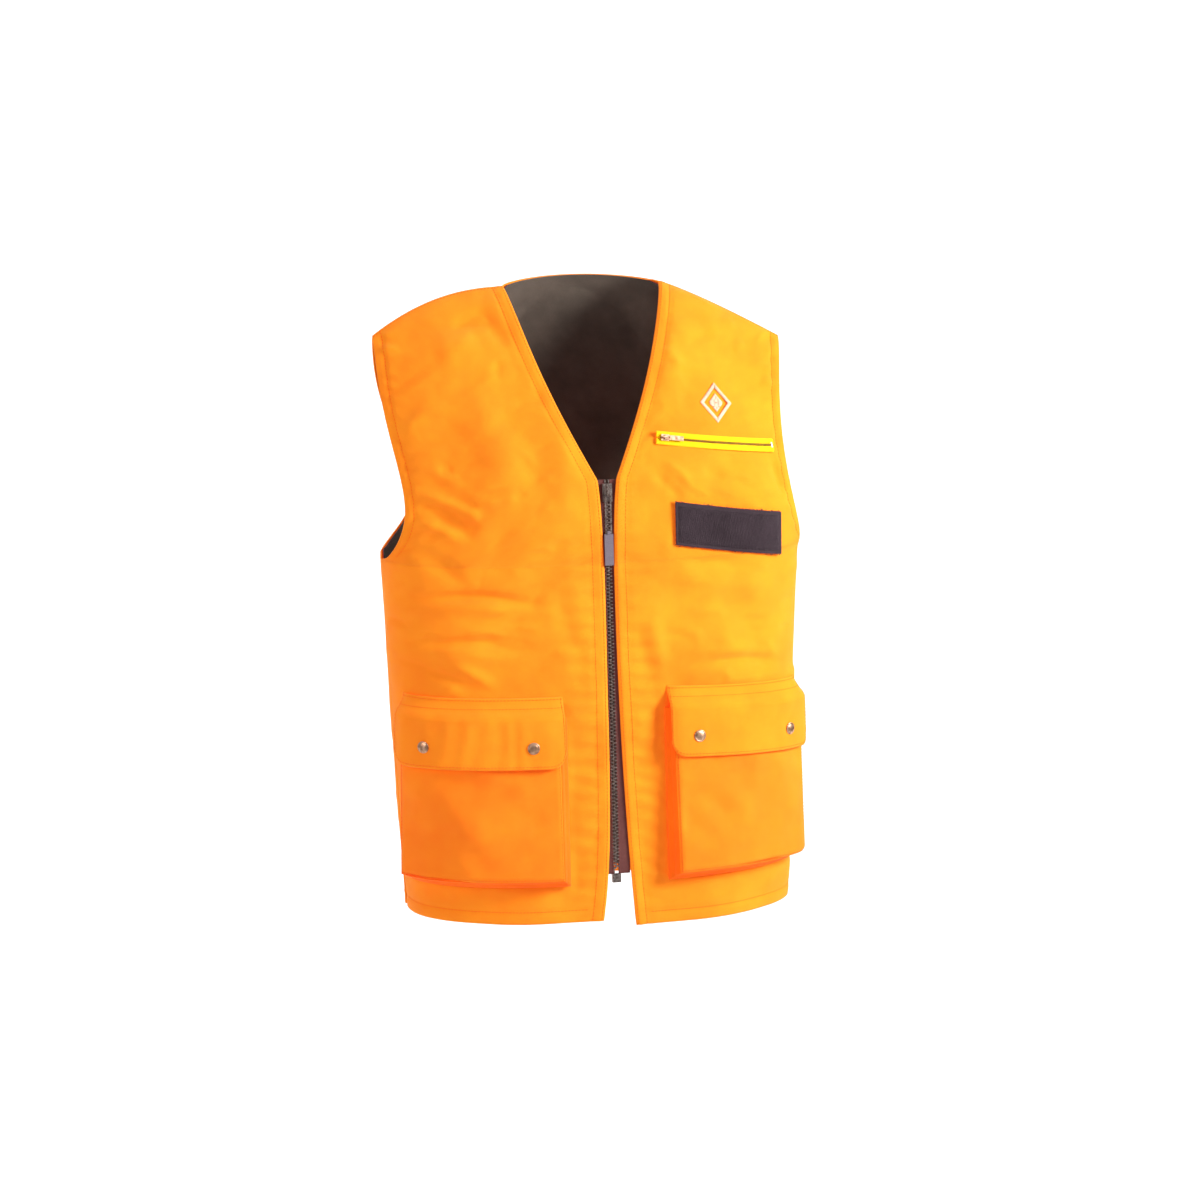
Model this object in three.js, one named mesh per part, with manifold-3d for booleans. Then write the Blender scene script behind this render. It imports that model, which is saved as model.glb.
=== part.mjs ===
// A sleeveless hunting vest in blaze orange cloth, zipped at the front, with a zipped chest
// pocket, a loop patch and two bellows cargo pockets whose flaps close with snaps.
// Millimetres, +Z up, the wearer faces -Y, so the wearer's left is +X. The vest hangs open
// and rounded, as on a form. The origin is on the centre plane, level with the neck ends
// of the shoulder seams, where the stem of a hanger passes.
import * as THREE from "three";
import { mergeVertices } from "three/addons/utils/BufferGeometryUtils.js";
import Module from "manifold-3d";

// ---- driving dimensions ----------------------------------------------------------------

const ARMPIT_Z = -282;
const VEE_Z = -192; // foot of the V neck, top of the front zip
const YOKE_Z = -100; // below this the cloth of a front turns with the opening front
const HEM_Z = -669;

const SEAM_Y = { top: -38, foot: -60 }; // side seams, at the armpit and at the hem
const DEPTH_AT_VEE = 83; // half the front-to-back depth
const DEPTH_AT_HEM = 105;
const SQUARENESS = 2.4; // exponent of the squared oval that each level section follows

const NECK_HALF = 86;
const VEE_HALF = 11;
const VEE_BOW = 6.5;
const FRONT_ROLL = { depth: 195, power: 0.62 }; // how the chest leans back to the shoulder
const BACK_ROLL = { depth: 80, power: 0.5 };
const NAPE_RISE = 70; // height that the back would reach if the neckline did not cut it
const NAPE_DIP = 4;

// The two shoulders hang a little differently, so each side has its own set.
const RIGHT = {
  name: "right",
  sign: -1,
  seam: { top: 229, foot: 208 }, // centre plane to the side seam, at the armpit and the hem
  reach: 228, // centre plane to the outer end of the shoulder seam
  drop: 48, // neck end down to the outer end
  roundness: 2.2,
  scoop: 19, // how deep the front armhole cuts in
  scoopSkew: 2.2,
  edgeFlare: 11.5, // how far the front edge swings away from the zip at the hem
  flarePower: 8,
  hemLift: 7, // how far the front hem hangs above the back hem
  pocketX: 51, // centre plane to the pocket's inner edge
  pocketWidth: 184, // round the body, at the foot of the bellows
  flapTop: -421.5, // inner end of the flap's seam
  flapFall: 0, // how much lower the outer end of that seam is
  snaps: { inner: 33, outer: 33, up: 22 }, // in from the flap's ends, up from its edge
};
const LEFT = {
  name: "left",
  sign: 1,
  seam: { top: 233, foot: 215 },
  reach: 220,
  drop: 64,
  roundness: 1.15,
  scoop: 15,
  scoopSkew: 1,
  edgeFlare: 15.5,
  flarePower: 2.5,
  hemLift: 0,
  pocketX: 57,
  pocketWidth: 180,
  flapTop: -416.5,
  flapFall: 10,
  snaps: { inner: 29, outer: 34, up: 21.5 },
};
const SIDES = [RIGHT, LEFT];
const BACK_SCOOP = 48;
const EDGE_HALF = 5.5; // centre plane to a front edge along the closed zip
const EDGE_EASE = 40; // height over which the front edges close in below the V

// Layers, measured inward from the outer skin.
const SHELL = [0, 1.6];
const LINING = [3.8, 4.8];
const BAG = [9, 10.4];
const SEAM_GAP = 0.3;
const WELD = 1e-4; // corners closer than this are one
const BAND_GAP = 2; // between the bands of a front, which turn by different amounts
const FACING = { inner: 19, outer: 52 }; // strip of shell cloth inside each front edge
const LINING_SHORT = 4; // how far the lining stops above the hem

// Front zip, in its own straight frame: down is along the front edge, outward is -Y.
const ZIP = {
  top: -1, // upper end of the tapes, just below the V
  bottom: -423,
  tapeOuter: 15,
  tapeInner: 2.9,
  tape: [2.2, 3.0],
  row: [1.0, 4.2],
  rowInner: 2.0,
  toothInner: 1.25,
  rowTop: -5,
  rowBottom: -418,
  pitch: 10,
  toothShare: 0.45,
  stop: 3,
};
const SLIDER = { half: 5.2, top: -5, height: 19, plate: 1.2, lip: 1.5, room: 0.4, neck: 0.9 };
const BRIDGE = { half: 1.2, length: 10, rise: 2.6, bar: 1.2, post: 1.5, root: 0.4, drop: 2.5 };
const PULL_LINK = { half: 3.6, length: 46, bar: 1.6, thick: 1.2 };
const PULL_TAB = { half: 4.75, length: 33, thick: 2, loopHalf: 1.7, loop: 1.8, eye: 1.1 };
const PIN = { inner: 1.6, outer: 2.7, front: 1.8, back: 3.4, length: 12 };
const BOX = { half: 4.6, front: -0.2, back: 5.4, length: 9, room: 0.4 };

// Chest zip: an arc on the wearer's left chest, falling towards the armhole. Layers are
// depths from the skin, so those that stand out are negative.
const CHEST_ZIP = {
  inner: { x: 60, z: -154 },
  outer: { x: 197, z: -174 },
  tapeHalf: 7.4,
  tape: [-2.2, -1.5],
  coilHalf: 1.6,
  coil: [-3.4, -2.5],
  room: 0.4,
  margin: 4, // tape past each end of the coil
  columns: 12,
};
const CHEST_SLIDER = { length: 9, half: 3.4, wall: 1.1, top: -5, foot: -2.7, start: 9 };
const CHEST_ARCH = { half: 0.9, span: 6, rise: 1.6, bar: 0.8, post: 1, root: 0.2 };
const CHEST_PULLER = { length: 20, half: 2.5, thick: 1, endBar: 1.2, eye: 4 };
const CHEST_STOP = { length: 2, half: 3, layer: [-3.4, -2.5] };
const CHEST_BAG = { innerX: 66, outerX: 186, top: -196, bottom: -292 };

const PATCH = {
  inner: { x: 74, z: -242.5 },
  outer: { x: 197, z: -264 },
  height: 45,
  facets: 3,
  layer: [-3.6, -1.8],
};
const BADGE = {
  x: 131,
  z: -124,
  halfWidth: 19.5,
  halfHeight: 22.5,
  corner: 2.5,
  thick: 0.9,
  lift: 0.6,
};

// Cargo pockets. Depths are measured outward from the skin of the front.
const POCKET = {
  bottom: -622,
  mouth: 14, // how far the pocket front's top edge lies below the flap seam
  inset: 8, // how much smaller the pocket front is than the foot of its bellows
  depthTop: 9,
  depthBottom: 20,
  cloth: 1.4,
  bellows: 1.2,
  clear: 0.7, // of the bellows to the front and to the pocket front
};
const FLAP = {
  height: 72,
  thick: 2,
  inset: 4, // how much smaller the flap is than the foot of the bellows
  corner: 16,
  seamLift: 4,
  shoulder: 10, // height over which the flap swells out from its seam
  over: 5.4, // its outer face above the pocket front's
  start: 3, // the rigid flap starts this far below the seam at its ends
  dip: 14, // and this far in the middle, where the front bulges past the hinge line
};
const SNAP = {
  cap: 6.5,
  capEdge: 0.9,
  capCrown: 1.8,
  socket: { bore: 3.2, outer: 5.4 },
  socketHeights: [1.2, 2.3],
  stud: { flange: 5, flangeThick: 0.6, post: 2.4, top: 2.1 },
  crownShare: 0.6, // of the cap's radius that is flat on top
  sides: 24,
};

const COLOURS = {
  shell: [0xff8a1a, 0.85, 0],
  lining: [0x4a413b, 0.9, 0],
  tape: [0x5a2c2a, 0.85, 0],
  brass: [0x8a6a4c, 0.45, 0.9],
  gunmetal: [0x6b5f58, 0.4, 0.9],
  tab: [0x8d7f90, 0.6, 0.1],
  yellow: [0xffd800, 0.8, 0],
  loop: [0x3c2f38, 0.95, 0],
  thread: [0xf4e3c8, 0.7, 0],
  bellows: [0xe8501c, 0.85, 0],
};

// ---- small helpers ---------------------------------------------------------------------

const lerp = THREE.MathUtils.lerp;
const vec = (x, y, z) => new THREE.Vector3(x, y, z);
const steps = (count) => Array.from({ length: count + 1 }, (_, i) => i / count);

function material(kind) {
  const [color, roughness, metalness] = COLOURS[kind];
  return new THREE.MeshStandardMaterial({ color, roughness, metalness });
}

const vest = new THREE.Group();

function addMesh(name, geometry, kind, parent = vest) {
  const mesh = new THREE.Mesh(geometry, material(kind));
  mesh.name = name;
  parent.add(mesh);
  return mesh;
}

function boxBetween(low, high) {
  const size = high.clone().sub(low);
  const geometry = new THREE.BoxGeometry(size.x, size.y, size.z);
  return geometry.translate(low.x + size.x / 2, low.y + size.y / 2, low.z + size.z / 2);
}

// Where a front meets the back, along a shoulder or a side below the armpit.
function onSeam(point) {
  const onShoulder = Math.abs(point.y) < SEAM_GAP;
  const onSide = point.z <= ARMPIT_Z && Math.abs(point.y - middleY(point.z)) < 2 * SEAM_GAP;
  return onShoulder || onSide;
}

// Unit normals of a grid of points, one per point, from its neighbours along both ways.
// At a seam they lie in the seam's plane, so that the layers of both panels meet there.
function gridNormals(grid) {
  const rows = grid.length;
  const columns = grid[0].length;
  return grid.map((row, i) =>
    row.map((point, j) => {
      const along = grid[i][Math.min(j + 1, columns - 1)]
        .clone()
        .sub(grid[i][Math.max(j - 1, 0)]);
      const up = grid[Math.min(i + 1, rows - 1)][j].clone().sub(grid[Math.max(i - 1, 0)][j]);
      const normal = along.cross(up);
      if (onSeam(point)) normal.y = 0;
      return normal.normalize();
    }),
  );
}

// A closed sheet: the grid shifted against its normals by each of two depths, and the rim
// between them. The normals point out of the garment when a row runs to +X seen from the
// front and the rows run upward.
function sheet(grid, [outer, inner]) {
  const normals = gridNormals(grid);
  const rows = grid.length;
  const columns = grid[0].length;
  const positions = [];
  for (const depth of [outer, inner]) {
    grid.forEach((row, i) =>
      row.forEach((point, j) => {
        const shifted = point.clone().addScaledVector(normals[i][j], -depth);
        positions.push(shifted.x, shifted.y, shifted.z);
      }),
    );
  }
  const layer = rows * columns;
  const at = (i, j) => i * columns + j;
  const faces = [];
  const quad = (a, b, c, d) => faces.push(a, b, c, a, c, d);
  for (let i = 0; i + 1 < rows; i++) {
    for (let j = 0; j + 1 < columns; j++) {
      quad(at(i, j), at(i, j + 1), at(i + 1, j + 1), at(i + 1, j));
      quad(layer + at(i, j), layer + at(i + 1, j), layer + at(i + 1, j + 1), layer + at(i, j + 1));
    }
  }
  const rim = [
    ...steps(columns - 1).map((_, j) => at(0, j)),
    ...steps(rows - 1).map((_, i) => at(i, columns - 1)),
    ...steps(columns - 1).map((_, j) => at(rows - 1, columns - 1 - j)),
    ...steps(rows - 1).map((_, i) => at(rows - 1 - i, 0)),
  ].filter((vertex, i, all) => vertex !== all[i - 1]);
  rim.pop();
  rim.forEach((vertex, i) => {
    const next = rim[(i + 1) % rim.length];
    quad(vertex, layer + vertex, layer + next, next);
  });
  const geometry = new THREE.BufferGeometry();
  geometry.setAttribute("position", new THREE.Float32BufferAttribute(positions, 3));
  geometry.setIndex(faces);
  return geometry;
}

// Grids are written from the outer edge to the centre, which on one side runs to -X.
const towardsPlusX = (side, row) => (side.sign > 0 ? [...row].reverse() : row);

// ---- the body surface ------------------------------------------------------------------

const seamShare = (z) => (z - ARMPIT_Z) / (HEM_Z - ARMPIT_Z);
const halfWidth = (side, z) => lerp(side.seam.top, side.seam.foot, seamShare(z));
const middleY = (z) => lerp(SEAM_Y.top, SEAM_Y.foot, seamShare(z));
const halfDepth = (z) => lerp(DEPTH_AT_VEE, DEPTH_AT_HEM, (z - VEE_Z) / (HEM_Z - VEE_Z));
const squared = (share) => Math.pow(Math.max(0, 1 - Math.pow(share, SQUARENESS)), 1 / SQUARENESS);
const angleAt = (side, x, z) =>
  Math.acos(Math.pow(Math.min(1, x / halfWidth(side, z)), SQUARENESS / 2));
const xAtAngle = (side, angle, z) =>
  halfWidth(side, z) * Math.pow(Math.cos(angle), 2 / SQUARENESS);
const roll = (drop, { depth, power }) => Math.pow(THREE.MathUtils.clamp(drop / depth, 0, 1), power);

function shoulderZ(side, x) {
  const share = Math.max(0, (x - NECK_HALF) / (side.reach - NECK_HALF));
  return -side.drop * Math.pow(share, side.roundness);
}

function frontPoint(side, x, z) {
  const full = middleY(z) - halfDepth(z) * squared(x / halfWidth(side, z));
  return vec(side.sign * x, full * roll(shoulderZ(side, x) - z, FRONT_ROLL), z);
}

function backPoint(side, x, z) {
  const crown = x < NECK_HALF ? NAPE_RISE * (1 - (x / NECK_HALF) ** 2) : shoulderZ(side, x);
  const full = middleY(z) + halfDepth(z) * squared(x / halfWidth(side, z));
  return vec(side.sign * x, full * roll(crown - z, BACK_ROLL), z);
}

function armholeX(side, z, scoop) {
  const share = THREE.MathUtils.clamp((-side.drop - z) / (-side.drop - ARMPIT_Z), 0, 1);
  const cut = scoop * Math.sin(Math.PI * Math.pow(share, side.scoopSkew));
  return lerp(side.reach, side.seam.top, share) - cut;
}

function innerEdgeX(side, z) {
  if (z >= VEE_Z) {
    const share = z / VEE_Z;
    return lerp(NECK_HALF, VEE_HALF, share) + VEE_BOW * Math.sin(Math.PI * share);
  }
  const ease = (VEE_HALF - EDGE_HALF) * Math.exp((z - VEE_Z) / EDGE_EASE);
  const flare = side.edgeFlare * Math.pow((z - VEE_Z) / (HEM_Z - VEE_Z), side.flarePower);
  return EDGE_HALF + ease + flare;
}

// A row of a front panel at one height, from its outer edge to its inner edge. Two optional
// limits, measured from the centre plane, narrow it to a strip.
function frontRow(side, z, columns, { innerLimit = 0, outerLimit = Infinity }) {
  const seamAngle = Math.asin(Math.pow(SEAM_GAP / halfDepth(z), SQUARENESS / 2));
  const outerX = z < ARMPIT_Z ? halfWidth(side, z) : armholeX(side, z, side.scoop);
  const start = Math.max(seamAngle, angleAt(side, Math.min(outerX, outerLimit), z));
  const end = angleAt(side, Math.max(innerLimit, innerEdgeX(side, z)), z);
  return steps(columns).map((share) => {
    const x = xAtAngle(side, lerp(start, end, share), z);
    return frontPoint(side, x, z);
  });
}

function frontBand(side, heights, columns, limits = {}) {
  return heights.map((z) => towardsPlusX(side, frontRow(side, z, columns, limits)));
}

const between = (low, high, count) => steps(count).map((share) => lerp(low, high, share));

// Levels that include the armpit, where the outline of a front has a corner.
const pastArmpit = (low, high, below, above) => [
  ...between(low, ARMPIT_Z, below),
  ...between(ARMPIT_Z, high, above).slice(1),
];

// The yoke of a front runs up to the sloping shoulder seam.
function yokeGrid(side, rows, columns) {
  const low = YOKE_Z + BAND_GAP / 2;
  return steps(rows).map((up) => {
    const outer = armholeX(side, lerp(low, -side.drop, up), side.scoop);
    const inner = innerEdgeX(side, lerp(low, 0, up));
    const row = steps(columns).map((across) => {
      const top = shoulderZ(side, lerp(side.reach, NECK_HALF, across));
      const point = frontPoint(side, lerp(outer, inner, across), lerp(low, top, up));
      point.y = Math.min(point.y, -SEAM_GAP / 2);
      return point;
    });
    return towardsPlusX(side, row);
  });
}

// The back panel, from one side seam round to the other, seen from behind.
function backGrid(lowerRows, upperRows, columns) {
  const across = steps(columns).map((share) => share * 2 - 1);
  const levels = [
    ...steps(lowerRows).map((share) => [lerp(HEM_Z, ARMPIT_Z, share), 0]),
    ...steps(upperRows)
      .slice(1)
      .map((share) => [ARMPIT_Z, share]),
  ];
  return levels.map(([z, up]) => {
    const row = across.map((share) => {
      const side = share < 0 ? RIGHT : LEFT;
      const seamAngle = Math.asin(Math.pow(SEAM_GAP / halfDepth(z), SQUARENESS / 2));
      const angle = lerp(Math.PI / 2, seamAngle, Math.abs(share));
      const atSeam = xAtAngle(side, angle, z);
      if (up === 0) return backPoint(side, atSeam, z);
      const outer = armholeX(side, lerp(ARMPIT_Z, -side.drop, up), BACK_SCOOP);
      const x = (atSeam / side.seam.top) * outer;
      const topX = (atSeam / side.seam.top) * side.reach;
      const nape = -NAPE_DIP * Math.max(0, 1 - (topX / NECK_HALF) ** 2);
      const top = topX < NECK_HALF ? nape : shoulderZ(side, topX);
      const point = backPoint(side, x, lerp(ARMPIT_Z, top, up));
      point.y = Math.max(point.y, SEAM_GAP / 2);
      return point;
    });
    return row.reverse();
  });
}

// A frame on a front: the point, the outward normal and the way up the cloth.
function skinFrame(side, x, z) {
  const point = frontPoint(side, x, z);
  const along = frontPoint(side, x + 1, z).sub(frontPoint(side, x - 1, z));
  const up = frontPoint(side, x, z + 1).sub(frontPoint(side, x, z - 1)).normalize();
  const normal = along.cross(up).normalize();
  if (normal.y > 0) normal.negate();
  return { point, normal, up };
}

const WALK_TURN = 0.01; // radians of the section's own angle to a step

// The x reached by going an arc length outward round a front, from x at the same height.
function xAfterArc(side, x, z, arc) {
  const turn = WALK_TURN;
  let angle = angleAt(side, x, z);
  let here = frontPoint(side, x, z);
  for (let walked = 0; walked < arc && angle > turn; ) {
    const next = frontPoint(side, xAtAngle(side, angle - turn, z), z);
    const stride = next.distanceTo(here);
    const share = Math.min(1, (arc - walked) / stride);
    angle -= turn * share;
    walked += stride;
    here = next;
  }
  return xAtAngle(side, angle, z);
}

// ---- solids that need a boolean --------------------------------------------------------

const wasm = await Module();
wasm.setup();

function solid(geometry) {
  const bare = geometry.clone().deleteAttribute("normal").deleteAttribute("uv");
  const merged = mergeVertices(bare, WELD);
  return new wasm.Manifold(
    new wasm.Mesh({
      numProp: 3,
      vertProperties: merged.attributes.position.array,
      triVerts: new Uint32Array(merged.index.array),
    }),
  );
}

function geometryOf(made) {
  const mesh = made.getMesh();
  const geometry = new THREE.BufferGeometry();
  geometry.setAttribute("position", new THREE.BufferAttribute(mesh.vertProperties, 3));
  geometry.setIndex(new THREE.BufferAttribute(mesh.triVerts, 1));
  return geometry;
}

// ---- cloth of the body -----------------------------------------------------------------

function addBody() {
  const back = backGrid(8, 8, 14);
  addMesh("back_shell", sheet(back, SHELL), "shell");
  addMesh("back_lining", sheet(back, LINING), "lining");
  for (const side of SIDES) {
    const yoke = yokeGrid(side, 4, 7);
    addMesh(`yoke_${side.name}_shell`, sheet(yoke, SHELL), "shell");
    addMesh(`yoke_${side.name}_lining`, sheet(yoke, LINING), "lining");
    const chest = frontBand(side, between(VEE_Z + BAND_GAP / 2, YOKE_Z - BAND_GAP / 2, 3), 7);
    addMesh(`chest_${side.name}_shell`, sheet(chest, SHELL), "shell");
    addMesh(`chest_${side.name}_lining`, sheet(chest, LINING), "lining");
    const top = VEE_Z - BAND_GAP / 2;
    const hem = HEM_Z + side.hemLift;
    const front = frontBand(side, pastArmpit(hem, top, 7, 3), 9);
    addMesh(`front_${side.name}_shell`, sheet(front, SHELL), "shell");
    const levels = pastArmpit(hem + LINING_SHORT, top, 7, 3);
    const lining = frontBand(side, levels, 7, { innerLimit: FACING.outer + 2 * SEAM_GAP });
    addMesh(`front_${side.name}_lining`, sheet(lining, LINING), "lining");
    const strip = { innerLimit: FACING.inner, outerLimit: FACING.outer };
    const facing = frontBand(side, levels, 2, strip);
    addMesh(`front_${side.name}_facing`, sheet(facing, LINING), "shell");
  }
}

// ---- front zip -------------------------------------------------------------------------

function makeZipFrame() {
  const top = frontPoint(LEFT, 0, VEE_Z);
  const foot = frontPoint(LEFT, 0, HEM_Z);
  const frame = new THREE.Group();
  frame.position.copy(top);
  frame.rotation.x = -Math.atan2(top.y - foot.y, top.z - foot.z);
  vest.add(frame);
  return frame;
}

// A flat outline seen from the front, extruded between two depths.
function extrudeInward(shape, front, back) {
  const options = { depth: back - front, bevelEnabled: false };
  return new THREE.ExtrudeGeometry(shape, options).rotateX(Math.PI / 2).translate(0, back, 0);
}

// One row of teeth: a spine beside the tape with blocks that reach towards the other row.
function toothRow(sign) {
  const spine = sign * (ZIP.tapeInner - SEAM_GAP);
  const tip = sign * ZIP.toothInner;
  const root = sign * ZIP.rowInner;
  const count = Math.floor((ZIP.rowTop - ZIP.rowBottom) / ZIP.pitch);
  const shape = new THREE.Shape();
  shape.moveTo(spine, ZIP.rowBottom);
  for (let i = 0; i < count; i++) {
    const foot = ZIP.rowBottom + i * ZIP.pitch;
    const head = foot + ZIP.pitch * ZIP.toothShare;
    shape.lineTo(tip, foot);
    shape.lineTo(tip, head);
    shape.lineTo(root, head);
    shape.lineTo(root, foot + ZIP.pitch);
  }
  shape.lineTo(spine, ZIP.rowBottom + count * ZIP.pitch);
  return extrudeInward(shape, ...ZIP.row);
}

// Plates in front of and behind the teeth, joined by a neck between the rows; lips at the
// sides keep the rows in, and a bridge on the front plate holds the pull.
function sliderBody() {
  const front = ZIP.row[0] - SLIDER.room;
  const back = ZIP.row[1] + SLIDER.room;
  const { half, plate, lip, neck } = SLIDER;
  const slotFront = ZIP.tape[0] - SLIDER.room;
  const slotBack = ZIP.tape[1] + SLIDER.room;
  const quarter = (sign, end, slot, face) => [
    [sign * half, end],
    [sign * half, slot],
    [sign * (half - lip), slot],
    [sign * (half - lip), face],
    [sign * neck, face],
  ];
  const outline = [
    ...quarter(1, front - plate, slotFront, front),
    ...quarter(1, back + plate, slotBack, back).reverse(),
    ...quarter(-1, back + plate, slotBack, back),
    ...quarter(-1, front - plate, slotFront, front).reverse(),
  ].map(([x, y]) => new THREE.Vector2(x, y));
  const options = { depth: SLIDER.height, bevelEnabled: false };
  const channel = new THREE.ExtrudeGeometry(new THREE.Shape(outline), options);
  channel.translate(0, 0, SLIDER.top - SLIDER.height);
  return geometryOf(solid(channel).add(solid(bridgeArch(front - plate))));
}

// The arch on the slider's front plate, through which the pull's upper bar passes.
function bridgeArch(face) {
  const { half, length, rise, bar, post, root } = BRIDGE;
  const arch = new THREE.Shape();
  arch.moveTo(0, -root);
  arch.lineTo(post, -root);
  arch.lineTo(post, rise);
  arch.lineTo(length - post, rise);
  arch.lineTo(length - post, -root);
  arch.lineTo(length, -root);
  arch.lineTo(length, rise + bar);
  arch.lineTo(0, rise + bar);
  arch.closePath();
  const made = new THREE.ExtrudeGeometry(arch, { depth: 2 * half, bevelEnabled: false });
  // The outline's x runs down the slider and its y runs outward.
  made.applyMatrix4(
    new THREE.Matrix4().makeBasis(vec(0, 0, -1), vec(0, -1, 0), vec(-1, 0, 0)),
  );
  return made.translate(half, face, SLIDER.top - BRIDGE.drop);
}

function bridgeCentre() {
  const face = ZIP.row[0] - SLIDER.room - SLIDER.plate;
  return vec(0, face - BRIDGE.rise / 2, SLIDER.top - BRIDGE.drop - BRIDGE.length / 2);
}

function pullLink() {
  const { half, length, bar, thick } = PULL_LINK;
  const centre = bridgeCentre();
  const top = centre.z + bar / 2;
  const shape = new THREE.Shape();
  shape.moveTo(-half, top);
  shape.lineTo(-half, top - length);
  shape.lineTo(half, top - length);
  shape.lineTo(half, top);
  shape.closePath();
  const hole = new THREE.Path();
  hole.moveTo(-half + bar, top - bar);
  hole.lineTo(half - bar, top - bar);
  hole.lineTo(half - bar, top - length + bar);
  hole.lineTo(-half + bar, top - length + bar);
  hole.closePath();
  shape.holes.push(hole);
  return extrudeInward(shape, centre.y - thick / 2, centre.y + thick / 2);
}

// A flat tab that hangs from the link's lower bar by a loop.
function pullTab() {
  const { half, length, thick, loopHalf, loop, eye } = PULL_TAB;
  const centre = bridgeCentre();
  const bar = centre.z + PULL_LINK.bar - PULL_LINK.length;
  const around = (x, r) => boxBetween(vec(-x, centre.y - r, bar - r), vec(x, centre.y + r, bar + r));
  const plate = boxBetween(
    vec(-half, centre.y - thick / 2, bar - loop - length),
    vec(half, centre.y + thick / 2, bar - eye - SEAM_GAP),
  );
  const ring = solid(around(loopHalf, loop)).subtract(solid(around(half, eye)));
  return geometryOf(ring.add(solid(plate)));
}

// The box at the foot of the left tape, with a well that takes the right tape's pin.
function retainerBox() {
  const top = ZIP.bottom - SEAM_GAP;
  const block = boxBetween(
    vec(-BOX.half, BOX.front, top - BOX.length),
    vec(BOX.half, BOX.back, top),
  );
  const { room } = BOX;
  const well = boxBetween(
    vec(-PIN.outer - room, PIN.front - room, ZIP.rowBottom - PIN.length - room),
    vec(-PIN.inner + room, PIN.back + room, top + room),
  );
  return geometryOf(solid(block).subtract(solid(well)));
}

function addFrontZip() {
  const frame = makeZipFrame();
  for (const { name, sign } of SIDES) {
    const across = (low, high) => (sign > 0 ? [low, high] : [-high, -low]);
    const block = ([x0, x1], [y0, y1], z0, z1) => boxBetween(vec(x0, y0, z0), vec(x1, y1, z1));
    const tape = block(across(ZIP.tapeInner, ZIP.tapeOuter), ZIP.tape, ZIP.bottom, ZIP.top);
    addMesh(`zip_${name}_tape`, tape, "tape", frame);
    addMesh(`zip_${name}_teeth`, toothRow(sign), "gunmetal", frame);
    const stopSpan = across(ZIP.toothInner, ZIP.tapeInner - SEAM_GAP);
    const stop = block(stopSpan, ZIP.row, ZIP.top - ZIP.stop, ZIP.top);
    addMesh(`zip_${name}_top_stop`, stop, "gunmetal", frame);
  }
  const pin = boxBetween(
    vec(-PIN.outer, PIN.front, ZIP.rowBottom - PIN.length),
    vec(-PIN.inner, PIN.back, ZIP.rowBottom - SEAM_GAP),
  );
  addMesh("zip_pin", pin, "gunmetal", frame);
  addMesh("zip_box", retainerBox(), "gunmetal", frame);
  addMesh("zip_slider", sliderBody(), "gunmetal", frame);
  addMesh("zip_puller", pullLink(), "gunmetal", frame);
  addMesh("zip_tab", pullTab(), "tab", frame);
}

// ---- wearer's left chest ---------------------------------------------------------------

// A group at the centre of the circle through the ends and the middle of the chest zip: its
// Z runs up the cloth, and the zip lies on its -Y side, from the neck towards the armhole.
function makeChestFrame() {
  const { inner, outer } = CHEST_ZIP;
  const at = (share) => frontPoint(LEFT, lerp(inner.x, outer.x, share), lerp(inner.z, outer.z, share));
  const middle = at(0.5);
  const toStart = at(0).sub(middle);
  const toEnd = at(1).sub(middle);
  const across = toStart.clone().cross(toEnd);
  const toCentre = toEnd
    .clone()
    .multiplyScalar(toStart.lengthSq())
    .sub(toStart.clone().multiplyScalar(toEnd.lengthSq()))
    .cross(across)
    .divideScalar(2 * across.lengthSq());
  const radius = toCentre.length();
  const inward = toCentre.clone().normalize();
  const up = across.normalize();
  if (up.z < 0) up.negate();
  const along = inward.clone().cross(up);
  const frame = new THREE.Group();
  frame.position.copy(middle).add(toCentre);
  frame.quaternion.setFromRotationMatrix(new THREE.Matrix4().makeBasis(along, inward, up));
  vest.add(frame);
  const length = 2 * radius * Math.asin(toStart.distanceTo(toEnd) / 2 / radius);
  const cloth = skinFrame(LEFT, (inner.x + outer.x) / 2, (inner.z + outer.z) / 2);
  const lean = Math.atan2(cloth.up.dot(inward), cloth.up.dot(up));
  return { frame, radius, length, lean };
}

// Moves a geometry that lies flat round x = 0, with z up the cloth, to a distance from the
// zip's inner end, leaning back as the cloth does.
function alongChest({ radius, length, lean }, geometry, distance) {
  const turn = (distance - length / 2) / radius;
  return geometry.rotateX(-lean).translate(0, -radius, 0).rotateZ(turn);
}

// A curved strip of the chest zip between two distances from its inner end and two heights.
function chestStrip(zip, [from, to], heights, layer) {
  const distances = between(from, to, CHEST_ZIP.columns);
  const columns = distances.map((distance) => {
    const line = new THREE.BufferGeometry().setFromPoints(heights.map((z) => vec(0, 0, z)));
    return alongChest(zip, line, distance).attributes.position;
  });
  const grid = heights.map((_, i) => columns.map((line) => vec().fromBufferAttribute(line, i)));
  return sheet(grid, layer);
}

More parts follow.
